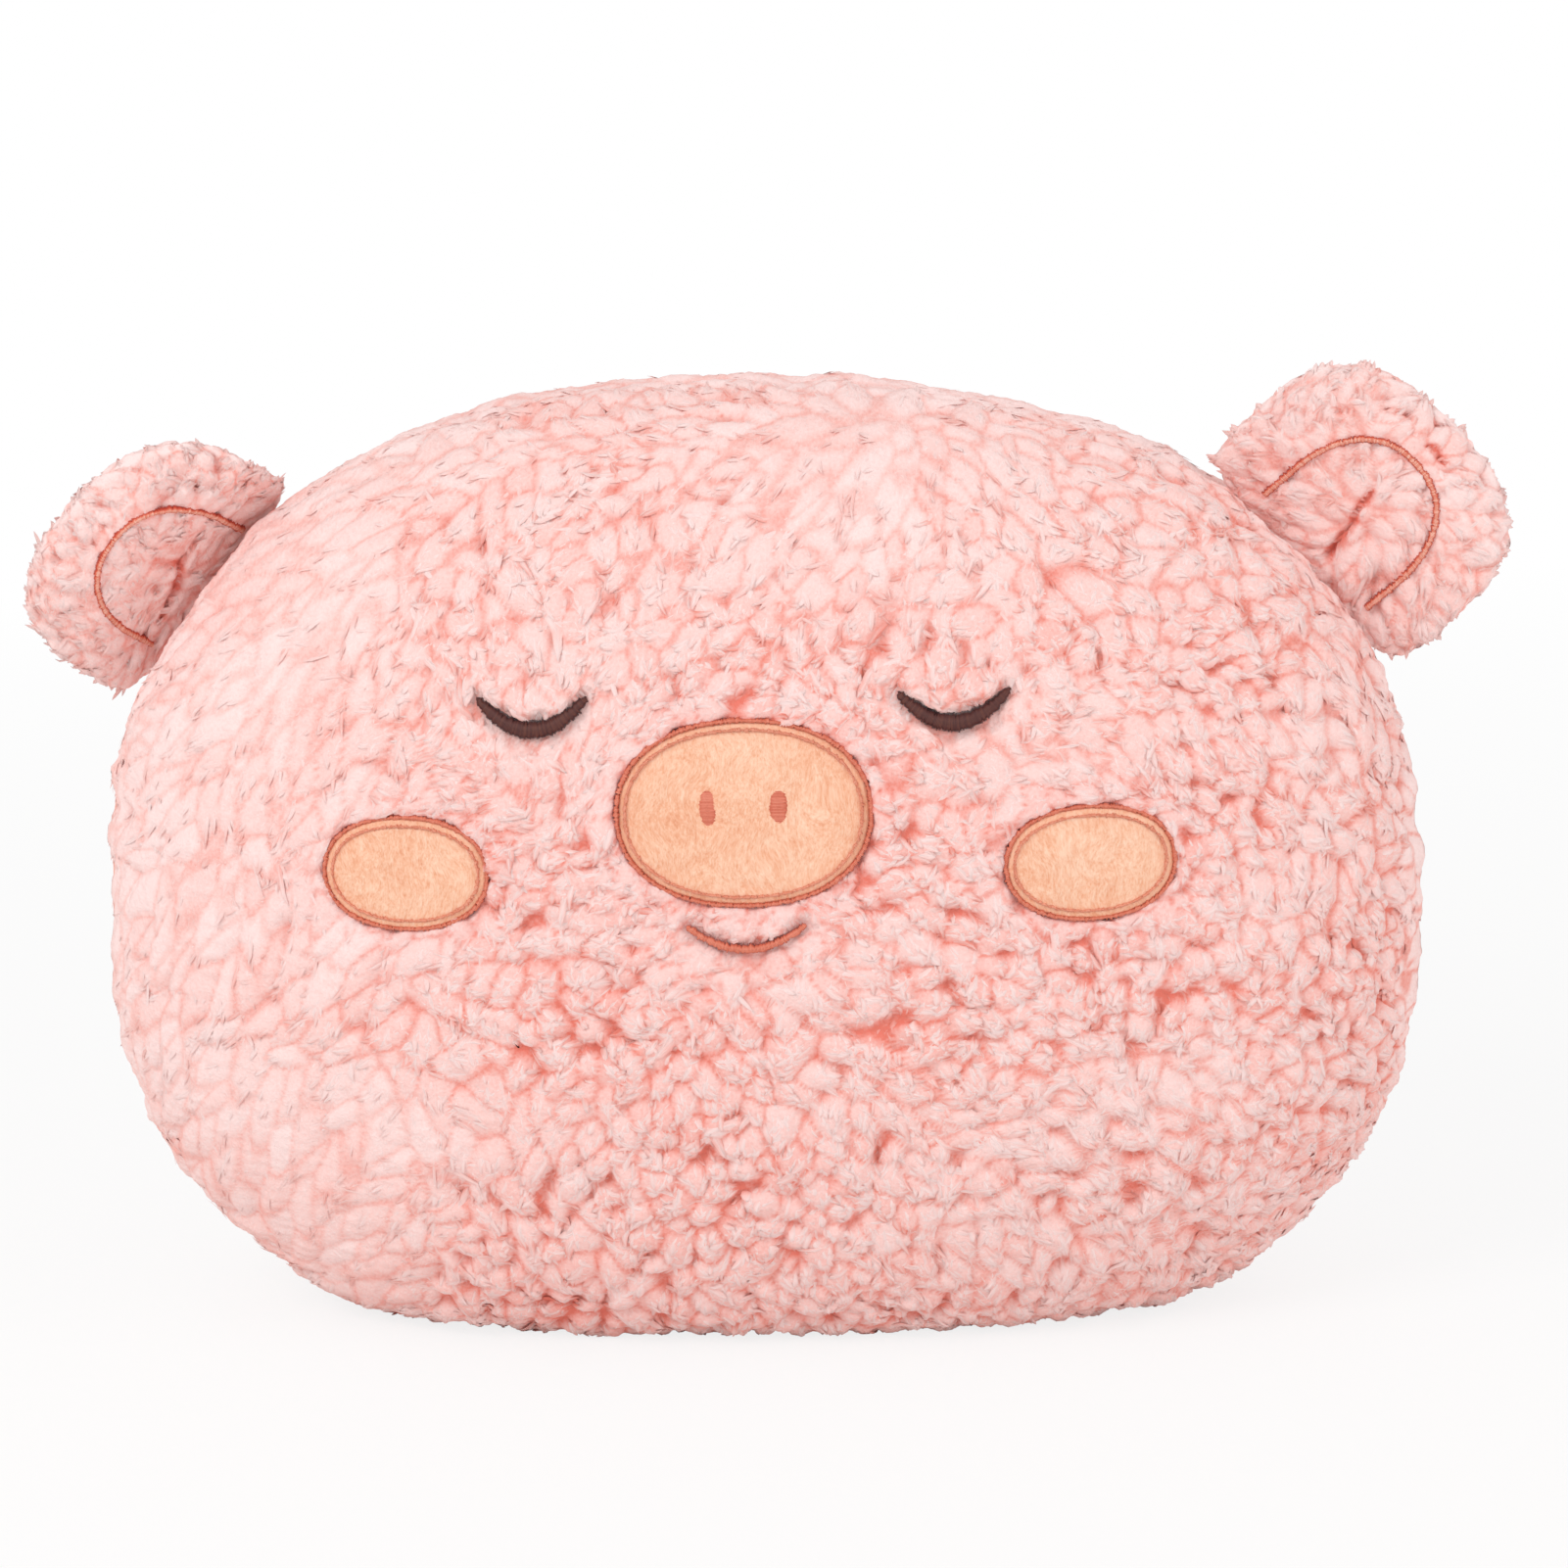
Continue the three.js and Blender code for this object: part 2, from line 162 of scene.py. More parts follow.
def xyz(x, y, z):
    # Points or vectors from their three parts, each a number or a grid
    return np.stack(np.broadcast_arrays(x, y, z), axis=-1)


def dot(first, second):
    return np.sum(first * second, axis=-1)


def perpendicular(vectors, normals):
    # The directions of vectors once what they have along the normals is taken off
    return unit(vectors - normals * dot(vectors, normals)[..., None])


def bell(away, width):
    return np.exp(-(away / width) ** 2)


def domed(share, power, least=0):
    # Height of a superellipse of unit size at a share of its half-width
    return np.maximum(least, 1 - share ** power) ** (1 / power)


def smooth(low, high, value):
    share = np.clip((value - low) / (high - low), 0, 1)
    return share * share * (3 - 2 * share)


def drift(points, size, seed, waves=9):
    # A smooth random field of about -1 to 1 with features of about that size
    rng = np.random.default_rng(seed)
    total = np.zeros(points.shape[:-1])
    for _ in range(waves):
        direction = unit(rng.normal(size=3))
        pace = tau / (size * rng.uniform(0.8, 1.9))
        total += np.sin(points @ direction * pace + rng.uniform(0, tau))
    return total / math.sqrt(waves)


def ovalRadius(angle, halfWidth, rise, drop, upper, lower):
    # Radius of a superellipse with unequal upper and lower halves
    cosine, sine = np.cos(angle), np.sin(angle)
    height = np.where(sine >= 0, rise, drop)
    exponent = np.where(sine >= 0, upper, lower)
    aside, along = np.abs(cosine / halfWidth), np.abs(sine / height)
    return (aside ** exponent + along ** exponent) ** (-1 / exponent)


def evenOvalRadius(angle, halfWidth, halfHeight, exponent):
    return ovalRadius(angle, halfWidth, halfHeight, halfHeight, exponent, exponent)


def slopes(points):
    # Steps from point to point along the rows and along the columns
    return np.gradient(points, axis=0), np.gradient(points, axis=1)


def gridNormals(points):
    return unit(np.cross(*slopes(points)))


def inScene(name, data):
    item = bpy.data.objects.new(name, data)
    bpy.context.scene.collection.objects.link(item)
    return item


def gridMesh(name, points, finish, body, wrapRows=False, wrapColumns=False, values=None,
             flipped=False, wisps=None):
    # A mesh over a grid of points, with one material, its grid as UV map and named values.
    # Wisps of pile are narrow open strips over the grid, in the same mesh.
    rows, columns = points.shape[:2]
    lastRow = rows if wrapRows else rows - 1
    lastColumn = columns if wrapColumns else columns - 1
    i, j = np.meshgrid(np.arange(lastRow), np.arange(lastColumn), indexing="ij")
    i, j = i.ravel(), j.ravel()
    order = [(0, 0), (1, 0), (1, 1), (0, 1)]
    if flipped:
        order.reverse()
    steps = [(i + a, j + b) for a, b in order]
    faces = np.stack([(a % rows) * columns + b % columns for a, b in steps], axis=1)
    spread = np.stack([np.stack([a / lastRow, b / lastColumn], axis=1) for a, b in steps], axis=1)
    points = points.reshape(-1, 3)
    values = {label: value.ravel() for label, value in (values or {}).items()}
    if wisps:
        faces = np.concatenate([faces, wisps["faces"] + len(points)])
        spread = np.concatenate([spread, wisps["spread"].reshape(-1, 2)[wisps["faces"]]])
        values = {label: np.append(value, wisps[label].ravel()) for label, value in values.items()}
        strand = np.concatenate([points, wisps["strand"].reshape(-1, 3)])
        facing = np.concatenate([0 * points, wisps["facing"].reshape(-1, 3)])
        points = np.concatenate([points, wisps["points"].reshape(-1, 3)])
    mesh = bpy.data.meshes.new(name)
    mesh.vertices.add(len(points))
    mesh.vertices.foreach_set("co", (points * mm).astype(np.float32).ravel())
    mesh.loops.add(faces.size)
    mesh.loops.foreach_set("vertex_index", faces.astype(np.int32).ravel())
    mesh.polygons.add(len(faces))
    mesh.polygons.foreach_set("loop_start", np.arange(0, faces.size, 4, dtype=np.int32))
    mesh.update(calc_edges=True)
    mesh.shade_smooth()
    layer = mesh.uv_layers.new(name="OFBake")
    layer.data.foreach_set("uv", spread.astype(np.float32).ravel())
    for label, value in values.items():
        attribute = mesh.attributes.new(label, "FLOAT", "POINT")
        attribute.data.foreach_set("value", value.astype(np.float32))
    if wisps:
        attribute = mesh.attributes.new("strand", "FLOAT_VECTOR", "POINT")
        attribute.data.foreach_set("vector", strand.astype(np.float32).ravel())
        mesh.normals_split_custom_set_from_vertices(facing)
    mesh.materials.append(finish.material)
    piece = inScene(name, mesh)
    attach(piece, body)
    return piece


def discGrid(count):
    # A square grid bent into a disc: for each point its share of the radius and its turn
    line = np.linspace(-1, 1, count)
    u, v = np.meshgrid(line, line, indexing="ij")
    wide = np.abs(u) > np.abs(v)
    radius = np.where(wide, u, v)
    with np.errstate(divide="ignore", invalid="ignore"):
        turn = np.where(wide, math.pi / 4 * v / u, math.pi / 2 - math.pi / 4 * u / v)
    turn = np.where(np.isfinite(turn), turn, 0.0)
    return np.abs(radius), turn + np.where(radius < 0, math.pi, 0)


def hemmedDisc(look):
    # A disc grid whose last rings are a hem: each point's share of the radius up to there, its turn,
    # how many rings it lies past the edge, and how far the hem is drawn in there
    radius, turn = discGrid(look["count"])
    ring = np.rint(radius * (look["count"] - 1) / 2 + (0 if look["count"] % 2 else 0.5)).astype(int)
    lastRing = ring.max() - len(look["hemRings"])
    share = np.clip(radius * ring.max() / lastRing, 0, 1)
    inset = np.array([0, *look["hemRings"]])[np.maximum(0, ring - lastRing)]
    return share, turn, ring - lastRing, inset[..., None]


# Pillow body, as in the CAD source

pillow = {
    "halfWidth": 203, "halfDepth": 88, "rise": 166, "drop": 145, "widestLevel": 120,
    "riseExponent": 2.4, "dropExponent": 2.45, "crownExponent": 2.3,
    "seamDraw": 5, "seamHalfWidth": 8, "seamGap": 0.15, "baseRoll": 5, "baseCut": 0.5,
}
tunnel = {"level": 118, "halfHeight": 55, "halfWidth": 21, "exponent": 2.6, "cover": 3.3}


def pillowRadius(angle, inset=0):
    return ovalRadius(angle, pillow["halfWidth"] - inset, pillow["rise"] - inset, pillow["drop"] - inset,
                      pillow["riseExponent"], pillow["dropExponent"])


def settle(level):
    above = level + pillow["baseCut"]
    roll = pillow["baseRoll"]
    pressed = np.maximum(above, 0) + roll * np.log1p(np.exp(-np.abs(above) / roll))
    return np.maximum(0, pressed - pillow["baseCut"])


def seamFurrow(depth):
    return pillow["seamDraw"] * bell(depth, pillow["seamHalfWidth"])


def pillowPoint(angle, tilt, side):
    # tilt runs from 0 in the middle of the panel to a quarter turn at the seam
    power = 2 / pillow["crownExponent"]
    depth = np.maximum(pillow["seamGap"], np.cos(tilt) ** power * pillow["halfDepth"])
    radius = (pillowRadius(angle) - seamFurrow(depth)) * np.sin(tilt) ** power
    return xyz(radius * np.cos(angle), side * depth, settle(pillow["widestLevel"] + radius * np.sin(angle)))


def mouthHalfWidth(level, growth):
    share = np.abs(level - tunnel["level"]) / (tunnel["halfHeight"] + growth)
    return (tunnel["halfWidth"] + growth) * domed(share, tunnel["exponent"])


def faceDepth(x, level, inset):
    rise = level - pillow["widestLevel"]
    share = np.hypot(x, rise) / pillowRadius(np.arctan2(rise, x), inset)
    return (pillow["halfDepth"] - inset) * domed(share, pillow["crownExponent"])


def onFace(x, level, inset):
    # A point under or over the front panel's surface
    return xyz(x, -faceDepth(x, level, inset), level)


# Embroidery and appliqué places

snout = {"x": 0, "level": 167, "halfWidth": 34, "halfHeight": 24}
cheeks = [{"name": name, "x": x, "level": 150, "halfWidth": 22, "halfHeight": 14}
          for name, x in (("left", -98), ("right", 98))]
nostrils = [{"name": name, "x": x, "level": 169, "halfWidth": 3, "halfHeight": 5.5}
            for name, x in (("left", -10), ("right", 10))]
eyes = [{"name": name, "x": x, "level": 200, "halfWidth": 16, "sag": 9, "halfStroke": 2.6, "taper": 0.6}
        for name, x in (("left", -60), ("right", 60))]
smile = {"name": "mouth", "x": 0, "level": 135, "halfWidth": 17, "sag": 7, "halfStroke": 1.3, "taper": 0.3}
patchRim = 3.1  # pile is kept this far off a patch, past its border
arcRim = 2.1  # and this far off a stitched arc
ovalPower = 2.2


def ovalEdge(oval, angle, growth):
    return evenOvalRadius(angle, oval["halfWidth"] + growth, oval["halfHeight"] + growth, ovalPower)


def ovalDistance(x, level, oval, growth):
    # About how far a point lies outside an oval
    aside, up = x - oval["x"], level - oval["level"]
    return np.hypot(aside, up) - ovalEdge(oval, np.arctan2(up, aside), growth)


def arcSpots(arc, share):
    along = 2 * share - 1
    return arc["x"] + along * arc["halfWidth"], arc["level"] - arc["sag"] * (1 - along * along)


def arcStroke(arc, share):
    return arc["halfStroke"] * (1 - arc["taper"] * (2 * share - 1) ** 2)


def arcDistance(x, level, arc):
    # How far a point lies outside a stitched arc
    best = np.full(np.shape(x), 1e9)
    for share in np.linspace(0, 1, 41):
        spotX, spotLevel = arcSpots(arc, share)
        best = np.minimum(best, np.hypot(x - spotX, level - spotLevel) - arcStroke(arc, share))
    return best


def faceDistance(x, level):
    # How far a point of the front lies outside the nearest appliqué or stitched line
    found = [ovalDistance(x, level, oval, patchRim) for oval in [snout, *cheeks]]
    found += [arcDistance(x, level, arc) - arcRim for arc in [*eyes, smile]]
    return np.min(found, axis=0)


# Fleece

unset = -1e3  # height of a mound that isn't there


def window(sheet, i, j, reach):
    # The part of the grid that may lie within reach of one of its points
    step = int(reach / sheet["pitch"]) + 2
    return slice(max(0, i - step), i + step + 1), slice(max(0, j - step), j + step + 1)


def scatter(sheet, spacing, rng):
    # Places over the sheet that keep their distance, each with its own gap
    points, free = sheet["points"], sheet["grown"].copy()
    places = []
    for flat in rng.permutation(free.size):
        i, j = divmod(int(flat), free.shape[1])
        if free[i, j]:
            gap = spacing[i, j] * rng.uniform(0.85, 1.15)
            spot = window(sheet, i, j, gap)
            free[spot] &= np.linalg.norm(points[spot] - points[i, j], axis=-1) > gap
            places.append((i, j, gap))
    return places


def raiseTufts(sheet, look, flow, rng):
    # Tufts of pile as leaning mounds side by side. The highest one shows, and valleys run between them.
    points = sheet["points"]
    top, second = np.full(points.shape[:2], unset), np.full(points.shape[:2], unset)
    owner = np.zeros(points.shape[:2], int)
    tufts = {name: [] for name in ("centre", "direction", "aside", "lean", "tone")}
    for number, (i, j, gap) in enumerate(scatter(sheet, look["spacing"] * sheet["coarse"], rng)):
        normal, combed = sheet["normals"][i, j], sheet["combed"][i, j]
        straight = unit(flow[i, j] - normal * (flow[i, j] @ normal))
        turn = look["stray"] * (1 - 0.7 * combed) * rng.normal()
        direction = straight * math.cos(turn) + np.cross(normal, straight) * math.sin(turn)
        aside = np.cross(normal, direction)
        bulk = math.exp(look["uneven"] * rng.normal())
        length = gap * bulk * (look["length"] + look["combedLength"] * combed)
        width = gap * bulk * look["width"] * rng.uniform(0.85, 1.15)
        level = look["level"] + look["levelSpread"] * (1 - 0.4 * combed) * rng.normal()
        spot = window(sheet, i, j, look["reach"] * length)
        away = points[spot] - points[i, j]
        along = away @ direction / length
        beside = away @ aside / (width * (1 - look["taper"] * np.clip(along, -1, 1)))
        beside = beside + look["bend"] * rng.normal() * along * along
        far = np.sqrt(along ** 2 + beside ** 2 + (away @ normal / (3 * width)) ** 2)
        rise = level + look["lift"] * np.clip(along, -1, 1) - look["steep"] * far ** look["round"]
        rise = np.where(far < look["reach"], rise, unset)
        second[spot] = np.maximum(second[spot], np.minimum(top[spot], rise))
        owner[spot] = np.where(rise > top[spot], number, owner[spot])
        top[spot] = np.maximum(top[spot], rise)
        lean, tone = look["lean"] * rng.uniform(0.6, 1.4), rng.uniform(-1, 1)
        for name, value in zip(tufts, (points[i, j], direction, aside, lean, tone)):
            tufts[name].append(value)
    return top, top - second, owner, {name: np.array(value) for name, value in tufts.items()}


def softened(values, times):
    # Averages a grid of numbers or vectors with its neighbours
    for _ in range(times):
        for axis in (0, 1):
            padded = np.concatenate([values.take([0], axis), values, values.take([-1], axis)], axis)
            before, after = np.split(padded, [-2], axis)[0], np.split(padded, [2], axis)[1]
            values = (before + 2 * values + after) / 4
    return values


lockLook = {
    "spacing": 6.4, "length": 0.75, "combedLength": 1.1, "width": 0.6, "uneven": 0.2, "stray": 0.9,
    "taper": 0.3, "bend": 0.35, "steep": 2.0, "round": 2.2, "lift": 0.5, "level": 0.3, "levelSpread": 0.35,
    "lean": 0.3, "reach": 1.5,
}
wispLook = {
    "spacing": 2.1, "length": 4.8, "combedLength": 5.6, "uneven": 0.3, "width": 2.1, "unevenWidth": 0.25,
    "stray": 0.22, "bend": 1.0, "gather": 0.7, "gatherWidth": 3.5, "dip": 0.9, "rise": 0.45, "drop": 0.9,
    "tuck": 0.7, "loose": 0.16, "lift": 0.8, "stand": 0.02, "bare": 0.2, "flank": 0.15, "crest": 0.15,
    "own": 0.45, "rounded": 0.3, "overreach": 1.25,
    "along": (0, 0.26, 0.56, 0.82, 1.0), "taper": (0.6, 1.0, 1.0, 0.7, 0.08),
}


def takeAt(grid, at):
    # Values between the points of a grid
    i = np.clip(at[:, 0], 0, grid.shape[0] - 1.001)
    j = np.clip(at[:, 1], 0, grid.shape[1] - 1.001)
    row, column = i.astype(int), j.astype(int)
    shape = i.shape + (1,) * (grid.ndim - 2)
    down, right = (i - row).reshape(shape), (j - column).reshape(shape)
    upper = grid[row, column] * (1 - right) + grid[row, column + 1] * right
    lower = grid[row + 1, column] * (1 - right) + grid[row + 1, column + 1] * right
    return upper * (1 - down) + lower * down


def growWisps(sheet, look, height, shift, openness, owner, locks, rng):
    # Wisps lie over the mounds along their lock, and flatter where the panel turns into its seam
    points, normals = sheet["points"], sheet["normals"]
    alongRows, alongColumns = slopes(points)
    area = np.linalg.norm(np.cross(alongRows, alongColumns), axis=-1)
    square = area / (np.linalg.norm(alongRows, axis=-1) * np.linalg.norm(alongColumns, axis=-1) + 1e-9)
    room = area * sheet["grown"] * smooth(0.35, 0.6, square)
    room = np.cumsum(room * (1 + 1.1 * sheet["combed"]) * (1 - look["bare"] * sheet["turned"]))
    count = int(room[-1] / look["spacing"] ** 2)
    picked = np.searchsorted(room, (np.arange(count) + rng.uniform(size=count)) / count * room[-1])
    row, column = np.divmod(np.minimum(picked, room.size - 1), points.shape[1])
    lock, number = owner[row, column], np.arange(count)[:, None, None]
    normal, flow, combed, turned = (sheet[name][row, column]
                                    for name in ("facing", "flow", "combed", "turned"))
    stand, own = look["stand"] * turned, look["own"] + (1 - look["own"]) * turned
    straight = perpendicular(flow * 0.25 + locks["direction"][lock], normal)
    beside = dot(points[row, column] - locks["centre"][lock], locks["aside"][lock])
    turn = look["stray"] * (1 - 0.7 * combed) * rng.normal(size=count)
    beside = np.clip(beside / look["gatherWidth"], -1.3, 1.3)
    turn = (turn - look["gather"] * (1 - 0.55 * combed) * beside)[:, None]
    ahead = straight * np.cos(turn) + np.cross(normal, straight) * np.sin(turn)
    aside = np.cross(normal, ahead)

    # Grid steps for a millimetre ahead and aside
    rowStep, columnStep = alongRows[row, column], alongColumns[row, column]
    rowSize, columnSize, shared = dot(rowStep, rowStep), dot(columnStep, columnStep), dot(rowStep, columnStep)
    whole = np.maximum(rowSize * columnSize - shared ** 2, 0.05 * rowSize * columnSize) + 1e-9

    def gridSteps(vector):
        alongRow, alongColumn = dot(vector, rowStep), dot(vector, columnStep)
        return np.stack([columnSize * alongRow - shared * alongColumn,
                         rowSize * alongColumn - shared * alongRow], -1) / whole[:, None]

    stepAhead, stepAside = gridSteps(ahead), gridSteps(aside)
    root = np.stack([row, column], -1) + rng.uniform(-0.5, 0.5, (count, 2))
    length = look["length"] + look["combedLength"] * combed
    length = length * np.exp(look["uneven"] * rng.normal(size=count)) * (1 - 0.3 * turned)
    width = look["width"] * np.exp(look["unevenWidth"] * rng.normal(size=count)) * (1.1 - 0.5 * combed)
    bend = look["bend"] * (1 - 0.75 * combed) * rng.normal(size=count)
    rise = look["rise"] * rng.uniform(0.1, 1, count) * (1 - 0.75 * combed) * (1 - turned)
    loose = rng.uniform(size=count) < look["loose"] * (1 - 0.85 * combed) * (1 - 0.9 * turned)
    lift, tuck = look["lift"] * rng.uniform(0.2, 1, count), look["tuck"] * rng.uniform(0.5, 1.2, count)
    tip, rootHeight = np.where(loose, lift, -tuck), takeAt(height, root)
    leaned, hem = points + shift, 1.0 * ~sheet["grown"]
    relief = gridNormals(softened(leaned + normals * height[..., None], 2))
    relief = np.nan_to_num(relief * np.sign(dot(relief, normals))[..., None])

    # Stations from root to tip, each over its own place of the grid
    spots, asides, shades, spreads, grounds = [], [], [], [], []
    previous, blocked = 0, np.zeros(count, bool)
    for share in look["along"]:
        angle, flat = bend * share, length * share * np.sqrt(1 - stand ** 2)
        onward, sideways = flat * np.cos(angle / 2), flat * np.sin(angle / 2)
        at = root + stepAhead * onward[:, None] + stepAside * sideways[:, None]
        ground, limit, hemShare = takeAt(height, at), takeAt(sheet["limit"], at), takeAt(hem, at)
        level = np.maximum(ground, rootHeight - look["drop"] * (1 + 1.5 * combed) * onward)
        level = level + rise + tip * share ** 2 * (1 - stand) - look["dip"] * (1 - share) ** 2
        level = np.minimum(level + length * share * stand, limit)
        blocked |= limit < sheet["block"]
        level = np.where(blocked & (hemShare < 0.02), -takeAt(sheet["root"], at) - 0.3, level)
        spot = takeAt(leaned, at) + unit(takeAt(normals, at)) * level[:, None]
        if spots:
            # Past the seam a wisp goes straight on
            onwards = ahead * np.sqrt(1 - stand[:, None] ** 2) * 0.4 + normal * stand[:, None]
            part = ((share - previous) * length)[:, None]
            spot = np.where((hemShare > 0.02)[:, None], spots[-1] + onwards * part, spot)
            step = spot - spots[-1]
            stride = np.linalg.norm(step, axis=-1, keepdims=True)
            spot = spots[-1] + step * np.minimum(1, look["overreach"] * part / stride)
        previous = share
        spots.append(spot)
        asides.append(aside * np.cos(angle)[:, None] - ahead * np.sin(angle)[:, None])
        # A wisp takes the painted light of the pile under it. It is painted lighter the higher it rides and
        # towards its tip, and a deeper pink at a loose tip as painted shade.
        shades.append(takeAt(openness, at) + 0.1 * np.clip(level - ground, 0, 2) + 0.08 * share - 0.04
                      - 0.12 * loose * share)
        spreads.append(at / (np.array(points.shape[:2]) - 1))
        grounds.append(takeAt(relief, at))
    spots, asides, shades, spreads, grounds = (np.stack(found, 1) for found in
                                               (spots, asides, shades, spreads, grounds))

    # Three points wide at each station, with a ridge in the middle. In the UV map a wisp is all but a line.
    stations, sides = len(look["along"]), np.array([-0.5, 0, 0.5])[:, None]
    lifts = np.array([-look["flank"], look["crest"], -look["flank"]])[:, None]
    tangents = unit(np.gradient(spots, axis=1))
    across = perpendicular(asides, tangents)
    upwards = np.cross(tangents, across)
    breadth = (width[:, None] * look["taper"])[..., None]
    ridge = upwards * breadth * ((1 - 0.5 * combed) * (1 - 0.6 * turned))[:, None, None]
    # Painted shade on a wisp's flanks, and a little painted light along its ridge
    sideShade = ((0.36 - 0.24 * combed) * (1 - turned))[:, None, None] * np.array([-1, 0.25, -1])
    spread = spreads[:, :, None, :] + sides * (stepAside * width[:, None])[:, None, None] / room.size
    station, strip = np.divmod(np.arange((stations - 1) * 2), 2)
    first = station * 3 + strip
    corners = np.stack([first, first + 3, first + 4, first + 1], -1)

    # Light falls on a wisp much as on the pile around it
    own = own[:, None, None]
    facings = unit(unit(grounds) * (1 - own) + upwards * own)
    return {
        "points": spots[:, :, None] + (across * breadth)[:, :, None] * sides + ridge[:, :, None] * lifts,
        "faces": (number * stations * 3 + corners).reshape(-1, 4),
        "spread": np.clip(spread, 0, 1), "openness": np.clip(shades[..., None] + sideShade, 0, 1),
        "tone": np.repeat(0.6 * locks["tone"][lock] + 0.6 * rng.uniform(-1, 1, count), stations * 3),
        "strand": xyz(2.2 * sides[:, 0] * width[:, None, None],
                      np.array(look["along"])[:, None] * length[:, None, None], number * 1.7),
        "facing": unit(facings[:, :, None] + across[:, :, None] * sides * 2 * look["rounded"]),
    }


def furSheet(sheet, seed):
    # Raises the pile of a sheet: returns the final points, their painted light and random tone, and the wisps
    rng = np.random.default_rng(seed)
    gaps = np.linalg.norm(np.diff(sheet["points"], axis=1), axis=-1)
    sheet["pitch"] = float(np.percentile(gaps[gaps > 0.05], 3))
    top, topGap, owner, locks = raiseTufts(sheet, sheet["locks"], sheet["flow"], rng)
    floor = -sheet["root"]
    main = np.maximum(softened(np.maximum(top, floor), 1), floor)
    height = main + sheet["grit"] * drift(sheet["points"], 2.4, seed + 2, 18)
    height = np.maximum(np.minimum(height, sheet["limit"]), floor) - sheet["crease"]
    lean = (locks["direction"] * locks["lean"][:, None])[owner] * smooth(-4, 1, main)[..., None] * 3
    shift = softened(lean * sheet["loose"][..., None], 3)
    # Painted light and shade: deep coral low in the pile, in the valleys between tufts and in creases; pale
    # pink on the tops; milder where combed, a little deeper where curly; the hidden hem takes a fixed painted
    # shade
    openness = smooth(-3.4, -0.6, main) * (0.3 + 0.7 * smooth(0, 1.2, topGap))
    openness = 1 - (1 - openness) * (1 - 0.5 * sheet["combed"]) - 0.07 * (1 - sheet["combed"])
    openness = np.where(sheet["grown"], openness - 0.4 * np.minimum(sheet["crease"], 2), sheet["hemShade"])
    wisps = growWisps(sheet, sheet["wisps"], height, shift, openness, owner, locks, rng)
    points = sheet["points"] + sheet["normals"] * height[..., None] + shift
    # The pile seen between the wisps is painted darker, as shade under them, least where it is combed or
    # turned into the seam
    ground = np.minimum(1, 0.6 + 0.3 * sheet["combed"] + 0.35 * sheet["turned"])
    return points, {"openness": openness * ground, "tone": locks["tone"][owner]}, wisps


def fleeceFinish(name, look):
    fleece = Finish(name, Roughness=0.92, Specular_IOR_Level=0.0, Sheen_Weight=look["sheen"],
                    Sheen_Roughness=0.45, Sheen_Tint=linear(look["haze"]))
    openness, tone, place = fleece.field("openness"), fleece.field("tone"), fleece.place()
    fibres = fleece.noise(fleece.stretch(fleece.field("strand", output=1), 1.0, 0.22, 1), 1.0, 3, 0.6)
    cloud = fleece.noise(place, 9, 2)
    # Painted light and shade from the pile's depth, mixed with the fibres, the locks' random tone and a cloud
    # of the fleece's own colour
    shade = openness + (fibres - 0.5) * 0.6 + tone * 0.12 + (cloud - 0.5) * 0.2
    colour = fleece.ramp(shade.clamped(), [(0.0, look["deep"]), (0.3, look["low"]), (0.62, look["mid"]),
                                           (1.0, look["tip"])])
    return fleece.feed(Base_Color=colour, Roughness=0.86 + 0.1 * fibres,
                       Normal=fleece.bump(fibres, 0.0007, 0.7))


# deep and low are painted shade for the hollows of the pile; mid and tip are the fleece's pale pink on its
# tops
fleeceLook = {
    "sheen": 0.4, "haze": "#ffb3a6", "deep": "#ea8373", "low": "#f4aea4", "mid": "#facfc9", "tip": "#fce3e0",
}
# The back panel's copy of the fleece is a touch darker all over: painted shade for the side away from the
# lamps
fleeceBackLook = dict(fleeceLook, deep="#e98272", low="#f3aca2", mid="#f9cdc7", tip="#fbe1de")


coverLook = {
    "count": 380, "pile": 3.2, "mouthPile": 2.6, "hemRings": (1.5, 4.0, 9.0), "ragged": 1.5, "scallop": 0.8,
    "pressed": -3.35, "full": 6.0, "fullAfter": 1.8, "drawn": 1.6, "lap": 1.6, "eased": 12,
    "profileReach": 155, "profileSteps": 600, "cutFrom": 0.6, "cornerWidth": 5, "sidesFrom": 120,
    "mouthFade": (35, 95), "scallopSize": 14, "rolledFor": 6, "fan": 260, "combedLeft": (60, 150),
    "combedAbove": (170, 240), "fineNearFace": 26, "raggedSize": 9,
    "drawnAt": [(64, 15, 2.6), (172, 8, 2.0), (-14, 9, 2.0), (-36, 12, 1.6), (214, 16, 1.8), (150, 9, 2.4),
                (33, 9, 1.6)],
}


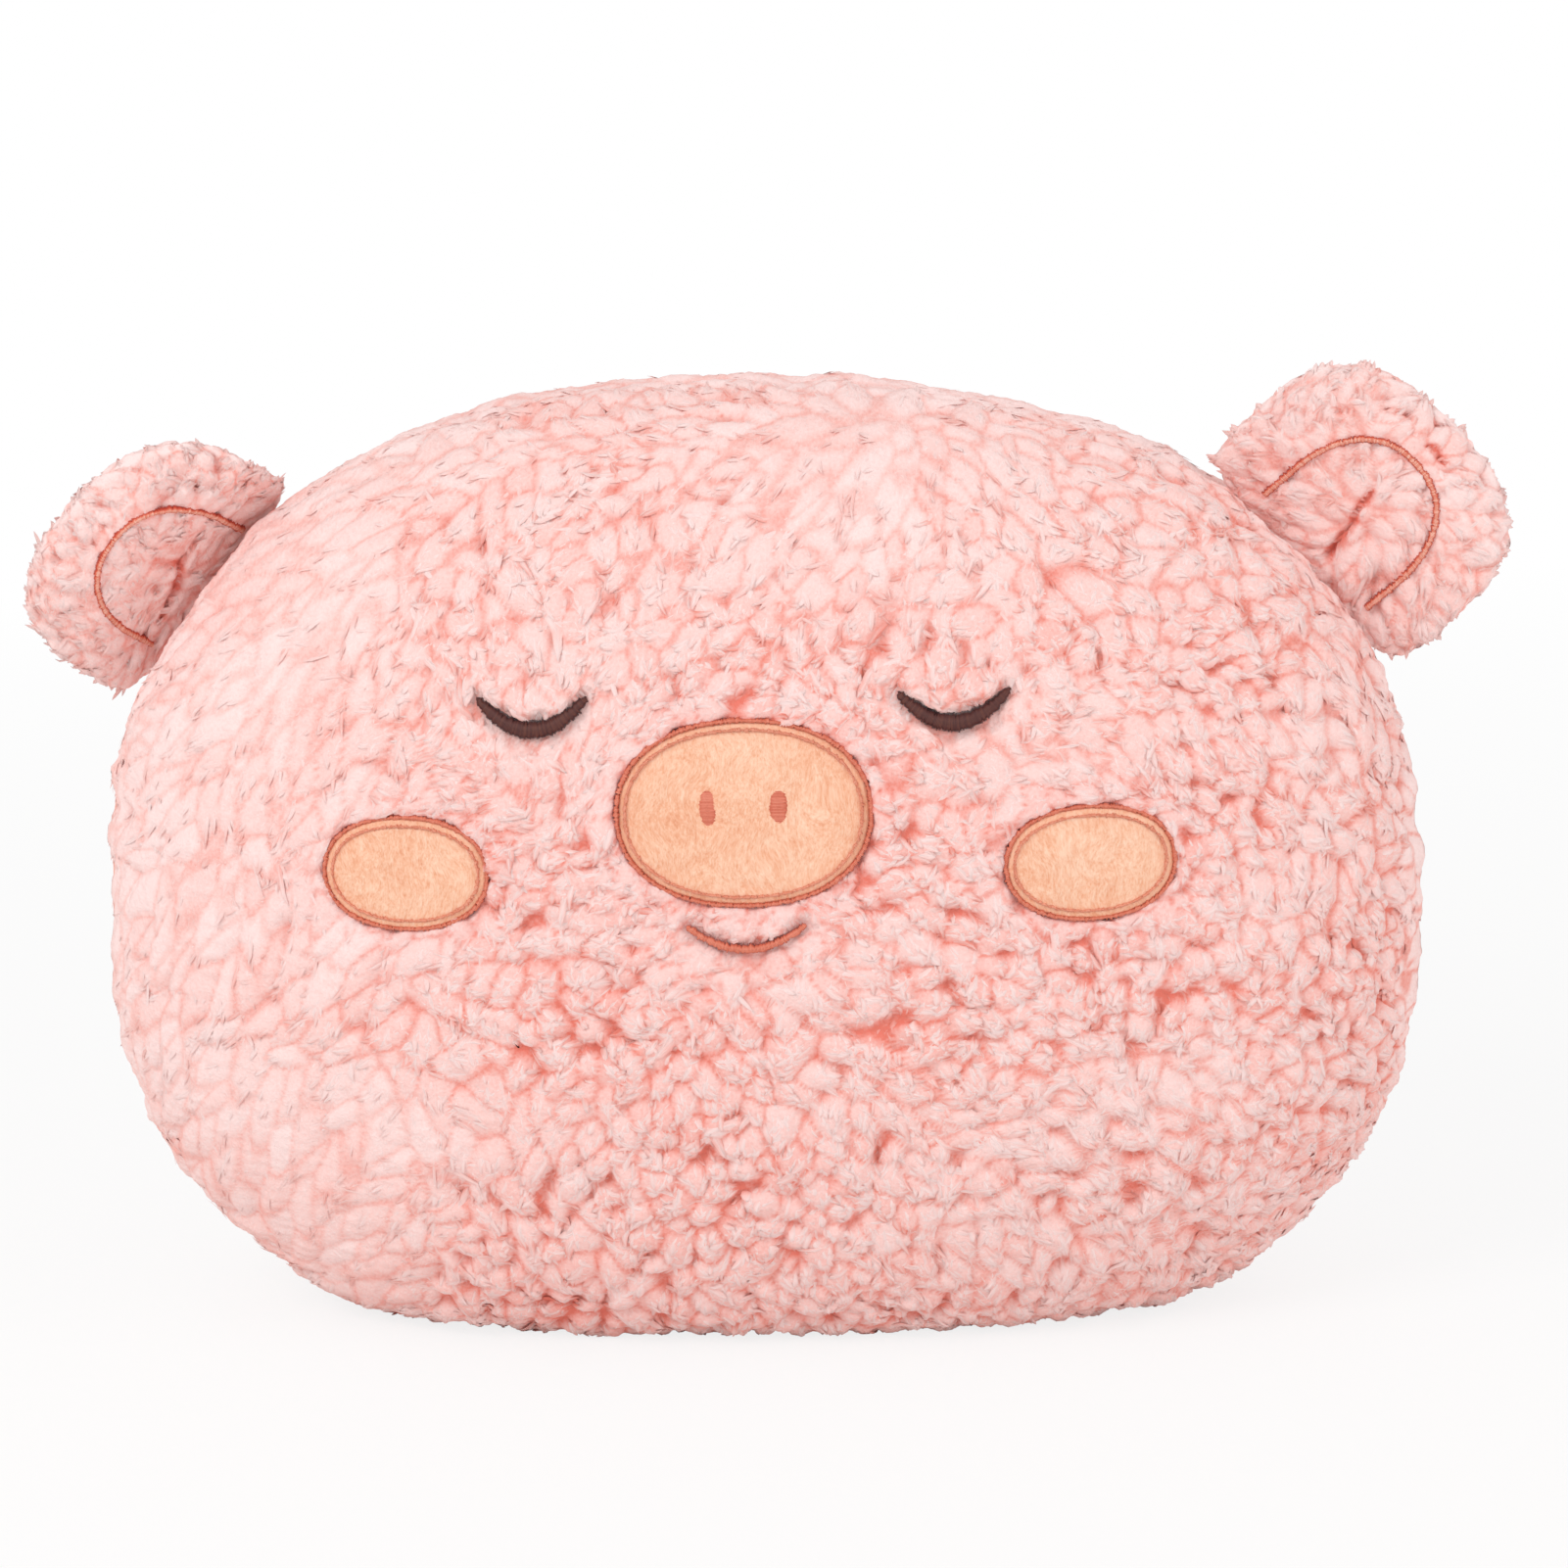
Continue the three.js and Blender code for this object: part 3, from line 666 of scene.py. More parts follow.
def coverSheet(side):
    # The grid of one panel: its points and normals, and how each lies to the seam and the tunnel's mouth
    share, turn, past, inset = hemmedDisc(coverLook)
    meanHeight = (pillow["rise"] + pillow["drop"]) / 2
    angle = np.arctan2(meanHeight * np.sin(turn), pillow["halfWidth"] * np.cos(turn))

    # Length of the panel's profile from its middle, so that the rings are evenly apart
    tilts = np.linspace(0, math.pi / 2, coverLook["profileSteps"])
    power = 2 / pillow["crownExponent"]
    profile = np.stack([coverLook["profileReach"] * np.sin(tilts) ** power,
                        pillow["halfDepth"] * np.cos(tilts) ** power], 1)
    lengths = np.append(0, np.cumsum(np.linalg.norm(np.diff(profile, axis=0), axis=1)))

    # Around the tunnel's mouth the panel ends at the lining
    border = np.full(angle.shape, math.pi / 2)
    for _ in range(8):
        level = pillowPoint(angle, border, side)[..., 2]
        depth = np.maximum(pillow["seamGap"], mouthHalfWidth(level, tunnel["cover"]))
        border = np.arccos((depth / pillow["halfDepth"]) ** (1 / power))
    cut = lengths[-1] - np.interp(border, tilts, lengths)
    cut = cut * smooth(coverLook["cutFrom"], 1, share)
    tilt = np.interp(share * lengths[-1] - cut, lengths, tilts)
    points, edge = pillowPoint(angle, tilt, side), pillowPoint(angle, border, side)

    # The grid is eased past the mouth's corners
    corner = np.abs(np.abs(edge[..., 2] - tunnel["level"]) - tunnel["halfHeight"] - tunnel["cover"])
    atSides = np.abs(edge[..., 0]) > coverLook["sidesFrom"]
    corner = np.exp(-(corner / coverLook["cornerWidth"]) ** 4)
    corner = (corner * smooth(0.6, 0.9, share) * atSides)[..., None]
    points = points * (1 - corner) + softened(points, coverLook["eased"]) * corner

    # The seam is drawn in here and there, and scalloped by the pull of its stitches
    drawn = coverLook["drawn"] + 0 * angle
    for middle, width, depth in coverLook["drawnAt"]:
        drawn += depth * bell((np.degrees(angle) - middle + 180) % 360 - 180, width)
    atMouth = 1 - smooth(*coverLook["mouthFade"], np.abs(points[..., 2] - tunnel["level"]))
    scallops = coverLook["scallop"] * drift(edge, coverLook["scallopSize"], 8)
    scallops = scallops * smooth(0.8, 1, share) * smooth(5, 30, edge[..., 2])
    drawn = drawn * smooth(0.45, 0.9, share) * smooth(2, 25, points[..., 2]) * (1 - 0.5 * atMouth) + scallops
    inMouth = softened(smooth(1, 5, np.abs(edge[..., 1])), coverLook["eased"])

    # Pile stands off the panel, off the seam at the hem, and into the mouth at its rim
    facing = gridNormals(points)
    facing *= np.sign(dot(facing, points - [0, 0, pillow["widestLevel"]]))[..., None]
    radial = xyz(np.cos(angle), 0, np.sin(angle))
    normals = np.where((past > -2)[..., None], unit(np.nan_to_num(radial + [0, side * 0.2, 0])), facing)
    power = tunnel["exponent"] - 1
    away = (edge[..., 2] - tunnel["level"]) / (tunnel["halfHeight"] + tunnel["cover"])
    aside = edge[..., 1] / (tunnel["halfWidth"] + tunnel["cover"])
    inwards = -unit(xyz(0, np.sign(aside) * np.abs(aside) ** power,
                        np.sign(away) * np.abs(away) ** power * 0.4))
    edgeGap = np.linalg.norm(points - edge, axis=-1)
    roll = (inMouth * (1 - smooth(0, coverLook["rolledFor"], edgeGap)))[..., None]
    return {
        "points": points - radial * (inset + drawn[..., None]),
        "normals": unit(normals + inwards * roll * 1.2), "facing": facing, "past": past, "share": share,
        "edgeGap": edgeGap, "inMouth": inMouth, "edge": edge,
    }


def buildCover(name, side, seed, finish):
    sheet = coverSheet(side)
    points, share, inMouth, grown = sheet["points"], sheet["share"], sheet["inMouth"], sheet["past"] <= 0
    x, level = points[..., 0], points[..., 2]
    nearMouth = inMouth * (1 - smooth(1, 9, sheet["edgeGap"]))
    pile = coverLook["pile"] + (coverLook["mouthPile"] - coverLook["pile"]) * nearMouth

    # The pile hangs down over the middle, turns outwards, and runs along the seam at the rim
    outwards = unit(xyz(x, 0, level - pillow["widestLevel"]) + 1e-6)
    edgeShare = smooth(0.62, 0.98, share)[..., None]
    wander = xyz(drift(points, 90, seed + 5), 0, drift(points, 110, seed + 6))
    down, turned = xyz(x / coverLook["fan"], 0, -1), smooth(0.86, 0.97, share)
    along = xyz(outwards[..., 2], 0, -outwards[..., 0]) * np.clip(x / 30, -1, 1)[..., None]
    rim = turned[..., None]
    flow = unit(down * (1 - 0.75 * edgeShare) + outwards * (0.25 + 0.8 * edgeShare) * (1 - rim)
                + 1.4 * along * rim + 0.45 * wander * (1 - 0.5 * rim))

    # The front is combed most at the left and at the top, and curly at the lower right
    leftward = smooth(*coverLook["combedLeft"], -x) if side < 0 else 0.5
    upward, mixedUp = smooth(*coverLook["combedAbove"], level), 0.25 * drift(points, 60, seed + 7)
    combed = np.clip(0.15 + 0.85 * leftward + 0.35 * upward + mixedUp, 0, 1)
    coarse = (1 + 0.12 * drift(points, 45, seed + 8)) * (1 + 0.45 * combed)
    limit, loose = np.full(x.shape, coverLook["full"]), np.ones(x.shape)
    if side < 0:
        gap = faceDistance(x, level) + 0.7 * drift(points, 6, seed + 9)
        room = coverLook["full"] - coverLook["pressed"]
        limit = coverLook["pressed"] + room * smooth(-1.2, coverLook["fullAfter"], gap)
        coarse *= 0.8 + 0.2 * smooth(0, coverLook["fineNearFace"], gap)
        loose = smooth(-0.5, 2.5, gap)

    # At the seam the panels' edges lap over each other along a ragged line
    parting = drift(xyz(sheet["edge"][..., 0], 0, sheet["edge"][..., 2]), coverLook["raggedSize"], 77)
    parting = coverLook["ragged"] * parting * (1 - inMouth)
    depth = np.abs(points[..., 1])
    lap = coverLook["lap"] * (1 - smooth(0, 6, depth)) * (1 - inMouth)
    sheet.update(
        points=points + xyz(0, parting * (1 - smooth(0, 9, depth)) - side * lap, 0), flow=flow, combed=combed,
        turned=turned, coarse=coarse, loose=loose, grown=grown, root=np.where(grown, pile, 0.0),
        limit=np.where(grown, limit, 0.0), crease=0 * x, block=-1.5, locks=lockLook, wisps=wispLook,
        grit=0.25, hemShade=0.6)
    final, values, wisps = furSheet(sheet, seed)

    # The panels meet there, and the floor flattens what reaches it
    meeting = 0.1 - (coverLook["lap"] + 0.2) * (1 - inMouth)
    final[..., 1] = side * np.maximum(side * final[..., 1], side * parting * (sheet["past"] < 2) + meeting)
    final[..., 2] = np.maximum(final[..., 2], 0.25)
    wisps["points"][..., 2] = np.maximum(wisps["points"][..., 2], 0.2)
    return gridMesh(name, final, finish, "cushion", values=values, flipped=side > 0, wisps=wisps)


print("fleece covers")
fleece = fleeceFinish("sherpaFleece", fleeceLook)
fleeceBack = fleeceFinish("sherpaFleeceBack", fleeceBackLook)
frontFleece = buildCover("front_fleece", -1, 11, fleece)
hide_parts("front_cover", "front_filling")
backFleece = buildCover("back_fleece", 1, 31, fleeceBack)
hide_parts("back_cover", "back_filling")


# Hand tunnel

liningLook = {
    "columns": 180, "rows": 240, "inset": 4.2, "flare": 4.5, "flareLength": 5, "pile": 1.1, "fold": 1.6,
}


def sideReach(depth, level):
    # How far out the body's side lies at a place of the tunnel
    swell = domed(np.abs(depth) / pillow["halfDepth"], pillow["crownExponent"])
    rise = level - pillow["widestLevel"]
    x = np.full(np.shape(level), 200.0)
    for _ in range(12):
        radius = (pillowRadius(np.arctan2(rise, x)) - seamFurrow(depth)) * swell
        x = np.sqrt(np.maximum(1, radius ** 2 - rise ** 2))
    return x


def buildLining():
    turn = np.linspace(0, tau, liningLook["columns"], endpoint=False)[None, :]
    run = np.linspace(-1, 1, liningLook["rows"])[:, None]
    radius = evenOvalRadius(turn, tunnel["halfWidth"], tunnel["halfHeight"], tunnel["exponent"])
    depth, rise = radius * np.cos(turn), radius * np.sin(turn)
    reach = sideReach(depth, tunnel["level"] + rise) - liningLook["inset"]
    x = run * reach
    points = xyz(x, depth, tunnel["level"] + rise)
    inwards = -unit(xyz(0 * x, depth, 0.35 * rise))
    fromMouth = reach - np.abs(x)
    folds = liningLook["fold"] * drift(points * [0.35, 1, 1], 26, 3) * smooth(4, 40, fromMouth)
    pile = 0.3 * drift(points, 2.6, 4, 14) + 0.22 * drift(points, 1.6, 5, 14)
    flare = liningLook["flare"] * bell(fromMouth, liningLook["flareLength"])
    height = np.maximum(0, folds) + pile * liningLook["pile"] - flare
    return points + inwards * height[..., None], pile


def liningFinish():
    lining = Finish("liningPlush", Roughness=0.9, Sheen_Weight=0.4, Sheen_Roughness=0.4,
                    Sheen_Tint=linear("#fbd6cb"))
    place = lining.place()
    nap, cloud = lining.noise(place, 900, 3, 0.65), lining.noise(place, 60, 2)
    # The colour follows the nap's height: painted shade in its dips and painted light on its rises, over
    # noise of the fabric's own nap and clouds
    shade = nap * 0.6 + cloud * 0.3 + lining.field("pile") * 0.35 + 0.05
    colour = lining.ramp(shade.clamped(), [(0.15, "#e0917e"), (0.5, "#f3b6a6"), (0.85, "#f9cfc3")])
    return lining.feed(Base_Color=colour, Roughness=0.82 + 0.15 * nap,
                       Normal=lining.bump(nap + cloud * 0.5, 0.0006, 0.8))


print("tunnel lining")
liningPoints, liningPile = buildLining()
lining = gridMesh("tunnel_lining", liningPoints, liningFinish(), "cushion",
                  wrapColumns=True, values={"pile": liningPile})
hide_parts("pocket_lining")


# Appliqué patches

patchLook = {"count": 121, "top": 1.0, "puff": 1.0, "under": 3.0, "past": 2.4}


def buildPatch(name, oval, finish):
    share, turn = discGrid(patchLook["count"])
    edge = ovalEdge(oval, turn, patchLook["past"])
    aside, up = share * edge * np.cos(turn), share * edge * np.sin(turn)
    spots = xyz(aside, 0, up)
    lift = patchLook["puff"] * (1 - share ** 2) - (patchLook["under"] - patchLook["top"]) * share ** 40
    lift = lift + 0.12 * drift(spots, 9, 21) + 0.035 * drift(spots, 1.3, 22, 16)
    points = onFace(oval["x"] + aside, oval["level"] + up, patchLook["top"] - lift)
    return gridMesh(name, points, finish, "cushion", values={"edge": share})


def velboaFinish():
    velboa = Finish("peachVelboa", Roughness=0.85, Sheen_Weight=0.35, Sheen_Roughness=0.4,
                    Sheen_Tint=linear("#ffe3c8"))
    place = velboa.place()
    swirl = velboa.node("ShaderNodeTexNoise", None, {"Vector": place, "Scale": 55, "Detail": 1}, output=1)
    bent = velboa.node("ShaderNodeVectorMath", {"operation": "MULTIPLY_ADD"},
                       {0: swirl, 1: (0.012, 0.012, 0.012), 2: place})
    nap = velboa.noise(velboa.stretch(bent, 1, 0.5, 0.42), 1900, 3, 0.7)
    tufts = velboa.noise(velboa.stretch(bent, 1, 0.5, 0.5), 620, 2, 0.6)
    cloud = velboa.noise(place, 45, 2)
    shade = (nap - 0.5) * 0.75 + (tufts - 0.5) * 0.45 + (cloud - 0.5) * 0.25 + 0.53
    colour = velboa.ramp(shade.clamped(), [(0.3, "#e39a76"), (0.44, "#eeb08e"), (0.58, "#f5c4a6"),
                                           (0.75, "#fbd6bd")])
    # Painted shade at the patch's rim, where it turns down under its border: a deeper peach
    rim = velboa.field("edge") ** 8 * 0.45
    return velboa.feed(Base_Color=velboa.mixed(rim, colour, linear("#f0a27c")), Roughness=0.8 + 0.15 * nap,
                       Normal=velboa.bump(nap * 0.6 + tufts, 0.0005, 0.7))


print("patches")
velboa = velboaFinish()
snoutPatch = buildPatch("snout_velboa", snout, velboa)
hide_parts("snout_patch")
for cheek in cheeks:
    patch = buildPatch(cheek["name"] + "_cheek_velboa", cheek, velboa)
    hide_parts(cheek["name"] + "_cheek")


# Satin stitch: threads laid side by side across a line, as ridges of one closed band

satinLook = {"pitch": 0.42, "perThread": 4, "rows": 9, "relief": 0.16, "ragged": 0.22}


def satinBand(surface, path, length, width, top, bottom, seed, closed=True, slant=0.6, roundEnd=0.0):
    # path(share) gives the middle of the line and the unit vector across it, both in the surface's plane,
    # and width is a number or a function of the share
    rng = np.random.default_rng(seed)
    threads = int(length / satinLook["pitch"])
    columns = threads * satinLook["perThread"] + (0 if closed else 1)
    share = np.arange(columns) / (columns if closed else columns - 1)
    phase = share * threads
    thread = np.floor(phase - 1e-9).astype(int) % threads
    outer, inner = (rng.normal(size=threads)[thread] * satinLook["ragged"] for _ in range(2))
    rows = satinLook["rows"]
    over = np.linspace(-1, 1, rows)
    around = np.concatenate([over, over[-2:0:-1] * 0.9])[:, None]
    onTop = np.arange(len(around))[:, None] < rows
    spots, aside = path(share)
    half = (width(share) if callable(width) else width) / 2
    if roundEnd:
        endGap = np.minimum(share, 1 - share) * length
        half = half * np.sqrt(np.clip(1 - (1 - np.clip(endGap / roundEnd, 0, 1)) ** 2, 0.0005, 1))
    reach = np.where(around > 0, half + outer, half + inner) * around
    dome = np.sqrt(np.maximum(0, 1 - around ** 2))
    ridge = np.abs(np.sin(math.pi * (phase + slant * around))) ** 0.6
    squeeze = np.clip(half / np.max(half), 0.2, 1)
    height = dome * (bottom - top) * squeeze + satinLook["relief"] * (ridge - 1) * dome
    points = surface(spots[0] + aside[0] * reach, spots[1] + aside[1] * reach, bottom - height * onTop)
    tint = rng.uniform(-1, 1, threads)[thread]
    return points, {"ridge": ridge, "threadTone": tint + 0 * reach, "sideways": around + 0 * reach}


def threadFinish(name, look):
    thread = Finish(name, Roughness=0.5, Sheen_Weight=0.2, Sheen_Roughness=0.3, Specular_IOR_Level=0.4)
    ridge, tone, sideways = (thread.field(label) for label in ("ridge", "threadTone", "sideways"))
    hair = thread.noise(thread.place(), 2600, 2, 0.6)
    # Painted highlight on each thread's crest and painted shade towards the band's edges, where it dips into
    # the pile, over the threads' random tone and fine hair
    shade = ridge * 0.6 + tone * 0.14 + hair * 0.4 - sideways.size() ** 3 * look["edge"]
    colour = thread.ramp(shade.clamped(), [(0.05, look["deep"]), (0.45, look["mid"]), (0.95, look["light"])])
    return thread.feed(Base_Color=colour, Roughness=0.42 + 0.25 * hair, Normal=thread.bump(hair, 0.0002, 0.5))


def ovalPath(oval, growth):
    def path(share):
        turn = share * tau
        radius = ovalEdge(oval, turn, growth)
        x, up = radius * np.cos(turn), radius * np.sin(turn)
        slope = unit(np.stack([np.roll(x, -1) - np.roll(x, 1), np.roll(up, -1) - np.roll(up, 1)], -1))
        return (oval["x"] + x, oval["level"] + up), (slope[:, 1], -slope[:, 0])
    return path


def ovalLength(oval, growth):
    a, b = oval["halfWidth"] + growth, oval["halfHeight"] + growth
    return math.pi * (3 * (a + b) - math.sqrt((3 * a + b) * (a + 3 * b))) * 1.02


def arcPath(arc):
    def path(share):
        slope = unit(np.stack([arc["halfWidth"] + 0 * share, 2 * arc["sag"] * (2 * share - 1)], -1))
        return arcSpots(arc, share), (-slope[:, 1], slope[:, 0])
    return path


# light is the colour of the painted highlight on the threads' crests, deep of the painted shade in the
# troughs and at the edges, and edge sets how strong that edge shade is
coral = threadFinish("coralThread", {"deep": "#9c3520", "mid": "#cf6a50", "light": "#e8937b", "edge": 0.45})
paleCoral = threadFinish("paleCoralThread",
                         {"deep": "#b8553c", "mid": "#dc8468", "light": "#f0ab92", "edge": 0.45})
earCoral = threadFinish("earCoralThread",
                        {"deep": "#b83d26", "mid": "#d96c50", "light": "#fad2bf", "edge": 1.1})
brown = threadFinish("brownThread", {"deep": "#220805", "mid": "#43191a", "light": "#6b3a2c", "edge": 0.45})


def stitched(name, band, finish, body="cushion", closed=True):
    points, values = band
    return gridMesh(name, points, finish, body, wrapRows=True, wrapColumns=closed, values=values)


def stitchedOval(name, oval, growth, look, finish, seed):
    band = satinBand(onFace, ovalPath(oval, growth), ovalLength(oval, growth), seed=seed, **look)
    return stitched(name, band, finish)


def stitchedArc(name, arc, look, finish, seed):
    length = 2 * arc["halfWidth"] * look["stretch"]
    band = satinBand(onFace, arcPath(arc), length, lambda share: 2 * arcStroke(arc, share), look["top"],
                     look["bottom"], seed, closed=False, slant=0.3, roundEnd=look["roundEnd"])
    return stitched(name, band, finish, closed=False)


def stitchedSpot(name, oval, finish, seed):
    def spine(share):
        level = oval["level"] + (2 * share - 1) * oval["halfHeight"]
        return (oval["x"] + 0 * share, level), (1 + 0 * share, 0 * share)

    def breadth(share):
        return 2 * oval["halfWidth"] * domed(np.abs(2 * share - 1), ovalPower, 0.02)

    band = satinBand(onFace, spine, 2 * oval["halfHeight"], breadth, -0.5, 0.8, seed, closed=False, slant=0.1)
    return stitched(name, band, finish, closed=False)


# Heights are depths under the face: a line's top, and the bottom that is sunk in the pile
edgeStitch = {"width": 1.6, "top": 0.3, "bottom": 2.6}
innerStitch = {"width": 0.9, "top": -0.1, "bottom": 1.6, "slant": 1.4}
eyeStitch = {"stretch": 1.18, "top": 0.2, "bottom": 2.8, "roundEnd": 1.6}
smileStitch = {"stretch": 1.1, "top": 0.6, "bottom": 2.6, "roundEnd": 0.8}

print("embroidery")
for number, (name, oval) in enumerate([("snout", snout)] + [(c["name"] + "_cheek", c) for c in cheeks]):
    border = stitchedOval(name + "_satin_edge", oval, 2.1, edgeStitch, coral, 40 + number)
    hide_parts(name + "_border")
    stitchedOval(name + "_inner_row", oval, -0.4, innerStitch, paleCoral, 50 + number)

for number, arc in enumerate(eyes):
    eye = stitchedArc(arc["name"] + "_eye_satin", arc, eyeStitch, brown, 60 + number)
    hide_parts(arc["name"] + "_eye")

smileLine = stitchedArc("mouth_satin", smile, smileStitch, coral, 64)
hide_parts("mouth_stitching")

for number, oval in enumerate(nostrils):
    nostril = stitchedSpot(oval["name"] + "_nostril_satin", oval, coral, 70 + number)
    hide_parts(oval["name"] + "_nostril")


# Ears

earShape = {
    "halfWidth": 43, "middle": 26, "tip": 33, "root": 30.7, "halfThickness": 14, "neck": 3.6,
    "neckSlope": 0.36, "tipExponent": 2.6, "rootExponent": 4,
}
ears = [
    {"name": "left", "angle": 148.3, "tilt": 7, "lean": 34, "curl": 12, "cup": 3, "reach": 0.83,
     "creases": [(-14, 6, -4, 7, 1), (-4, 7, 3, 13, 1), (3, 13, 15, 17, 0.8), (3, 13, 0, 22, 0.5),
                 (-6, 47, -1, 49, 0.4)]},
    {"name": "right", "angle": 32.7, "tilt": -3, "lean": 8, "curl": 3, "cup": 5, "reach": 0.945,
     "creases": [(4, 3, 1, 17, 1), (1, 17, -2, 27, 0.8), (-17, 49, -12, 52, 0.7), (0, 50, 6, 50, 0.9),
                 (-27, 38, -24, 41, 0.5), (24, 31, 28, 28, 0.4)]},
]
earPile = {
    "count": 121, "pile": 4.0, "full": 5.0, "hemRings": (1.2, 3.0, 6.0), "ragged": 0.8, "lap": 0.3,
    "sunk": 1.6, "creaseWidth": 1.2, "creaseDepth": 3.0, "combed": 0.55, "raggedSize": 7,
}
earLine = {"halfWidth": 23, "foot": 3, "springing": 15, "rise": 29, "width": 2.3, "exponent": 2.3}
earLocks = dict(lockLook, spacing=6.0, levelSpread=0.4, stray=0.5)
earWisps = dict(wispLook, spacing=1.7, length=4.4, lift=1.3, bare=0.8)


def earSeat(ear):
    angle = math.radians(ear["angle"])
    radius = float(pillowRadius(np.array(angle)))
    x, rise = radius * math.cos(angle), radius * math.sin(angle)

    def slope(value, size):
        return math.copysign(abs(value / size) ** (pillow["riseExponent"] - 1), value) / size

    turn = math.atan2(slope(x, pillow["halfWidth"]), slope(rise, pillow["rise"])) + math.radians(ear["tilt"])
    angles = angle + np.radians(np.linspace(50, -50, 400))
    outline = pillowRadius(angles)
    awayX, awayRise = outline * np.cos(angles) - x, outline * np.sin(angles) - rise
    along = awayX * math.cos(turn) - awayRise * math.sin(turn)
    fall = -(awayX * math.sin(turn) + awayRise * math.cos(turn))
    order = np.argsort(along)
    turned = Matrix.Rotation(turn, 3, "Y") @ Matrix.Rotation(math.radians(ear["lean"]), 3, "X")
    return {"along": along[order], "fall": fall[order], "turned": np.array(turned),
            "place": np.array([x, 0, pillow["widestLevel"] + rise])}


def earRadius(angle):
    return ovalRadius(angle, earShape["halfWidth"], earShape["tip"], earShape["root"],
                      earShape["tipExponent"], earShape["rootExponent"])


def earHeight(across, outwards):
    rise = outwards - earShape["middle"]
    share = np.minimum(1, np.hypot(across, rise) / earRadius(np.arctan2(rise, across)))
    crown = earShape["halfThickness"] * np.sqrt(np.maximum(0, 1 - share ** 2))
    neck = np.maximum(0.3, earShape["neck"] + earShape["neckSlope"] * outwards)
    return np.maximum(0.15, crown * neck / np.hypot(crown, neck))


def bendEar(ear, seat, flat):
    # From a flat ear to its place on the body, cupped, curled and set on the body's round
    across, lift, outwards = flat[..., 0], flat[..., 1], flat[..., 2] * ear["reach"]
    fade = np.clip(1 - outwards / (earShape["middle"] + earShape["tip"]), 0, 1)
    swing = np.clip(outwards / earShape["middle"], 0, 1)
    upward = across if ear["name"] == "left" else -across
    forward = ear["cup"] * (across / earShape["halfWidth"]) ** 2
    forward = forward + ear["curl"] * (np.maximum(0, upward) / earShape["halfWidth"]) ** 2
    fall = np.interp(across, seat["along"], seat["fall"])
    bent = xyz(across, lift - forward * swing, outwards - fall * fade - earPile["sunk"])
    return bent @ seat["turned"].T + seat["place"]


def earLinePath(share):
    turn = np.linspace(0, math.pi, 200)
    radius = evenOvalRadius(turn, earLine["halfWidth"], earLine["rise"], earLine["exponent"])
    x = np.concatenate([[earLine["halfWidth"]], radius * np.cos(turn), [-earLine["halfWidth"]]])
    z = np.concatenate([[earLine["foot"]], earLine["springing"] + radius * np.sin(turn), [earLine["foot"]]])
    run = np.append(0, np.cumsum(np.hypot(np.diff(x), np.diff(z))))
    at = share * run[-1]
    ahead, above = (np.interp(at + 0.5, run, line) - np.interp(at - 0.5, run, line) for line in (x, z))
    slope = unit(np.stack([ahead, above], -1))
    return (np.interp(at, run, x), np.interp(at, run, z)), (slope[..., 1], -slope[..., 0])


def earLineDistance(across, outwards):
    spots, _ = earLinePath(np.linspace(0, 1, 90))
    best = np.full(across.shape, 1e9)
    for x, z in zip(*spots):
        best = np.minimum(best, np.hypot(across - x, outwards - z))
    return best - earLine["width"] / 2


def creaseShare(across, outwards, creases):
    # 1 along the folds of an ear, fading to 0 beside them and at their far ends
    best = 0 * across
    for x0, z0, x1, z1, depth in creases:
        share = ((across - x0) * (x1 - x0) + (outwards - z0) * (z1 - z0)) / ((x1 - x0) ** 2 + (z1 - z0) ** 2)
        share = np.clip(share, 0, 1)
        gap = np.hypot(across - x0 - share * (x1 - x0), outwards - z0 - share * (z1 - z0))
        best = np.maximum(best, depth * bell(gap, earPile["creaseWidth"]))
    return best


noLine = 99  # gap to the stitched line on a panel that has none


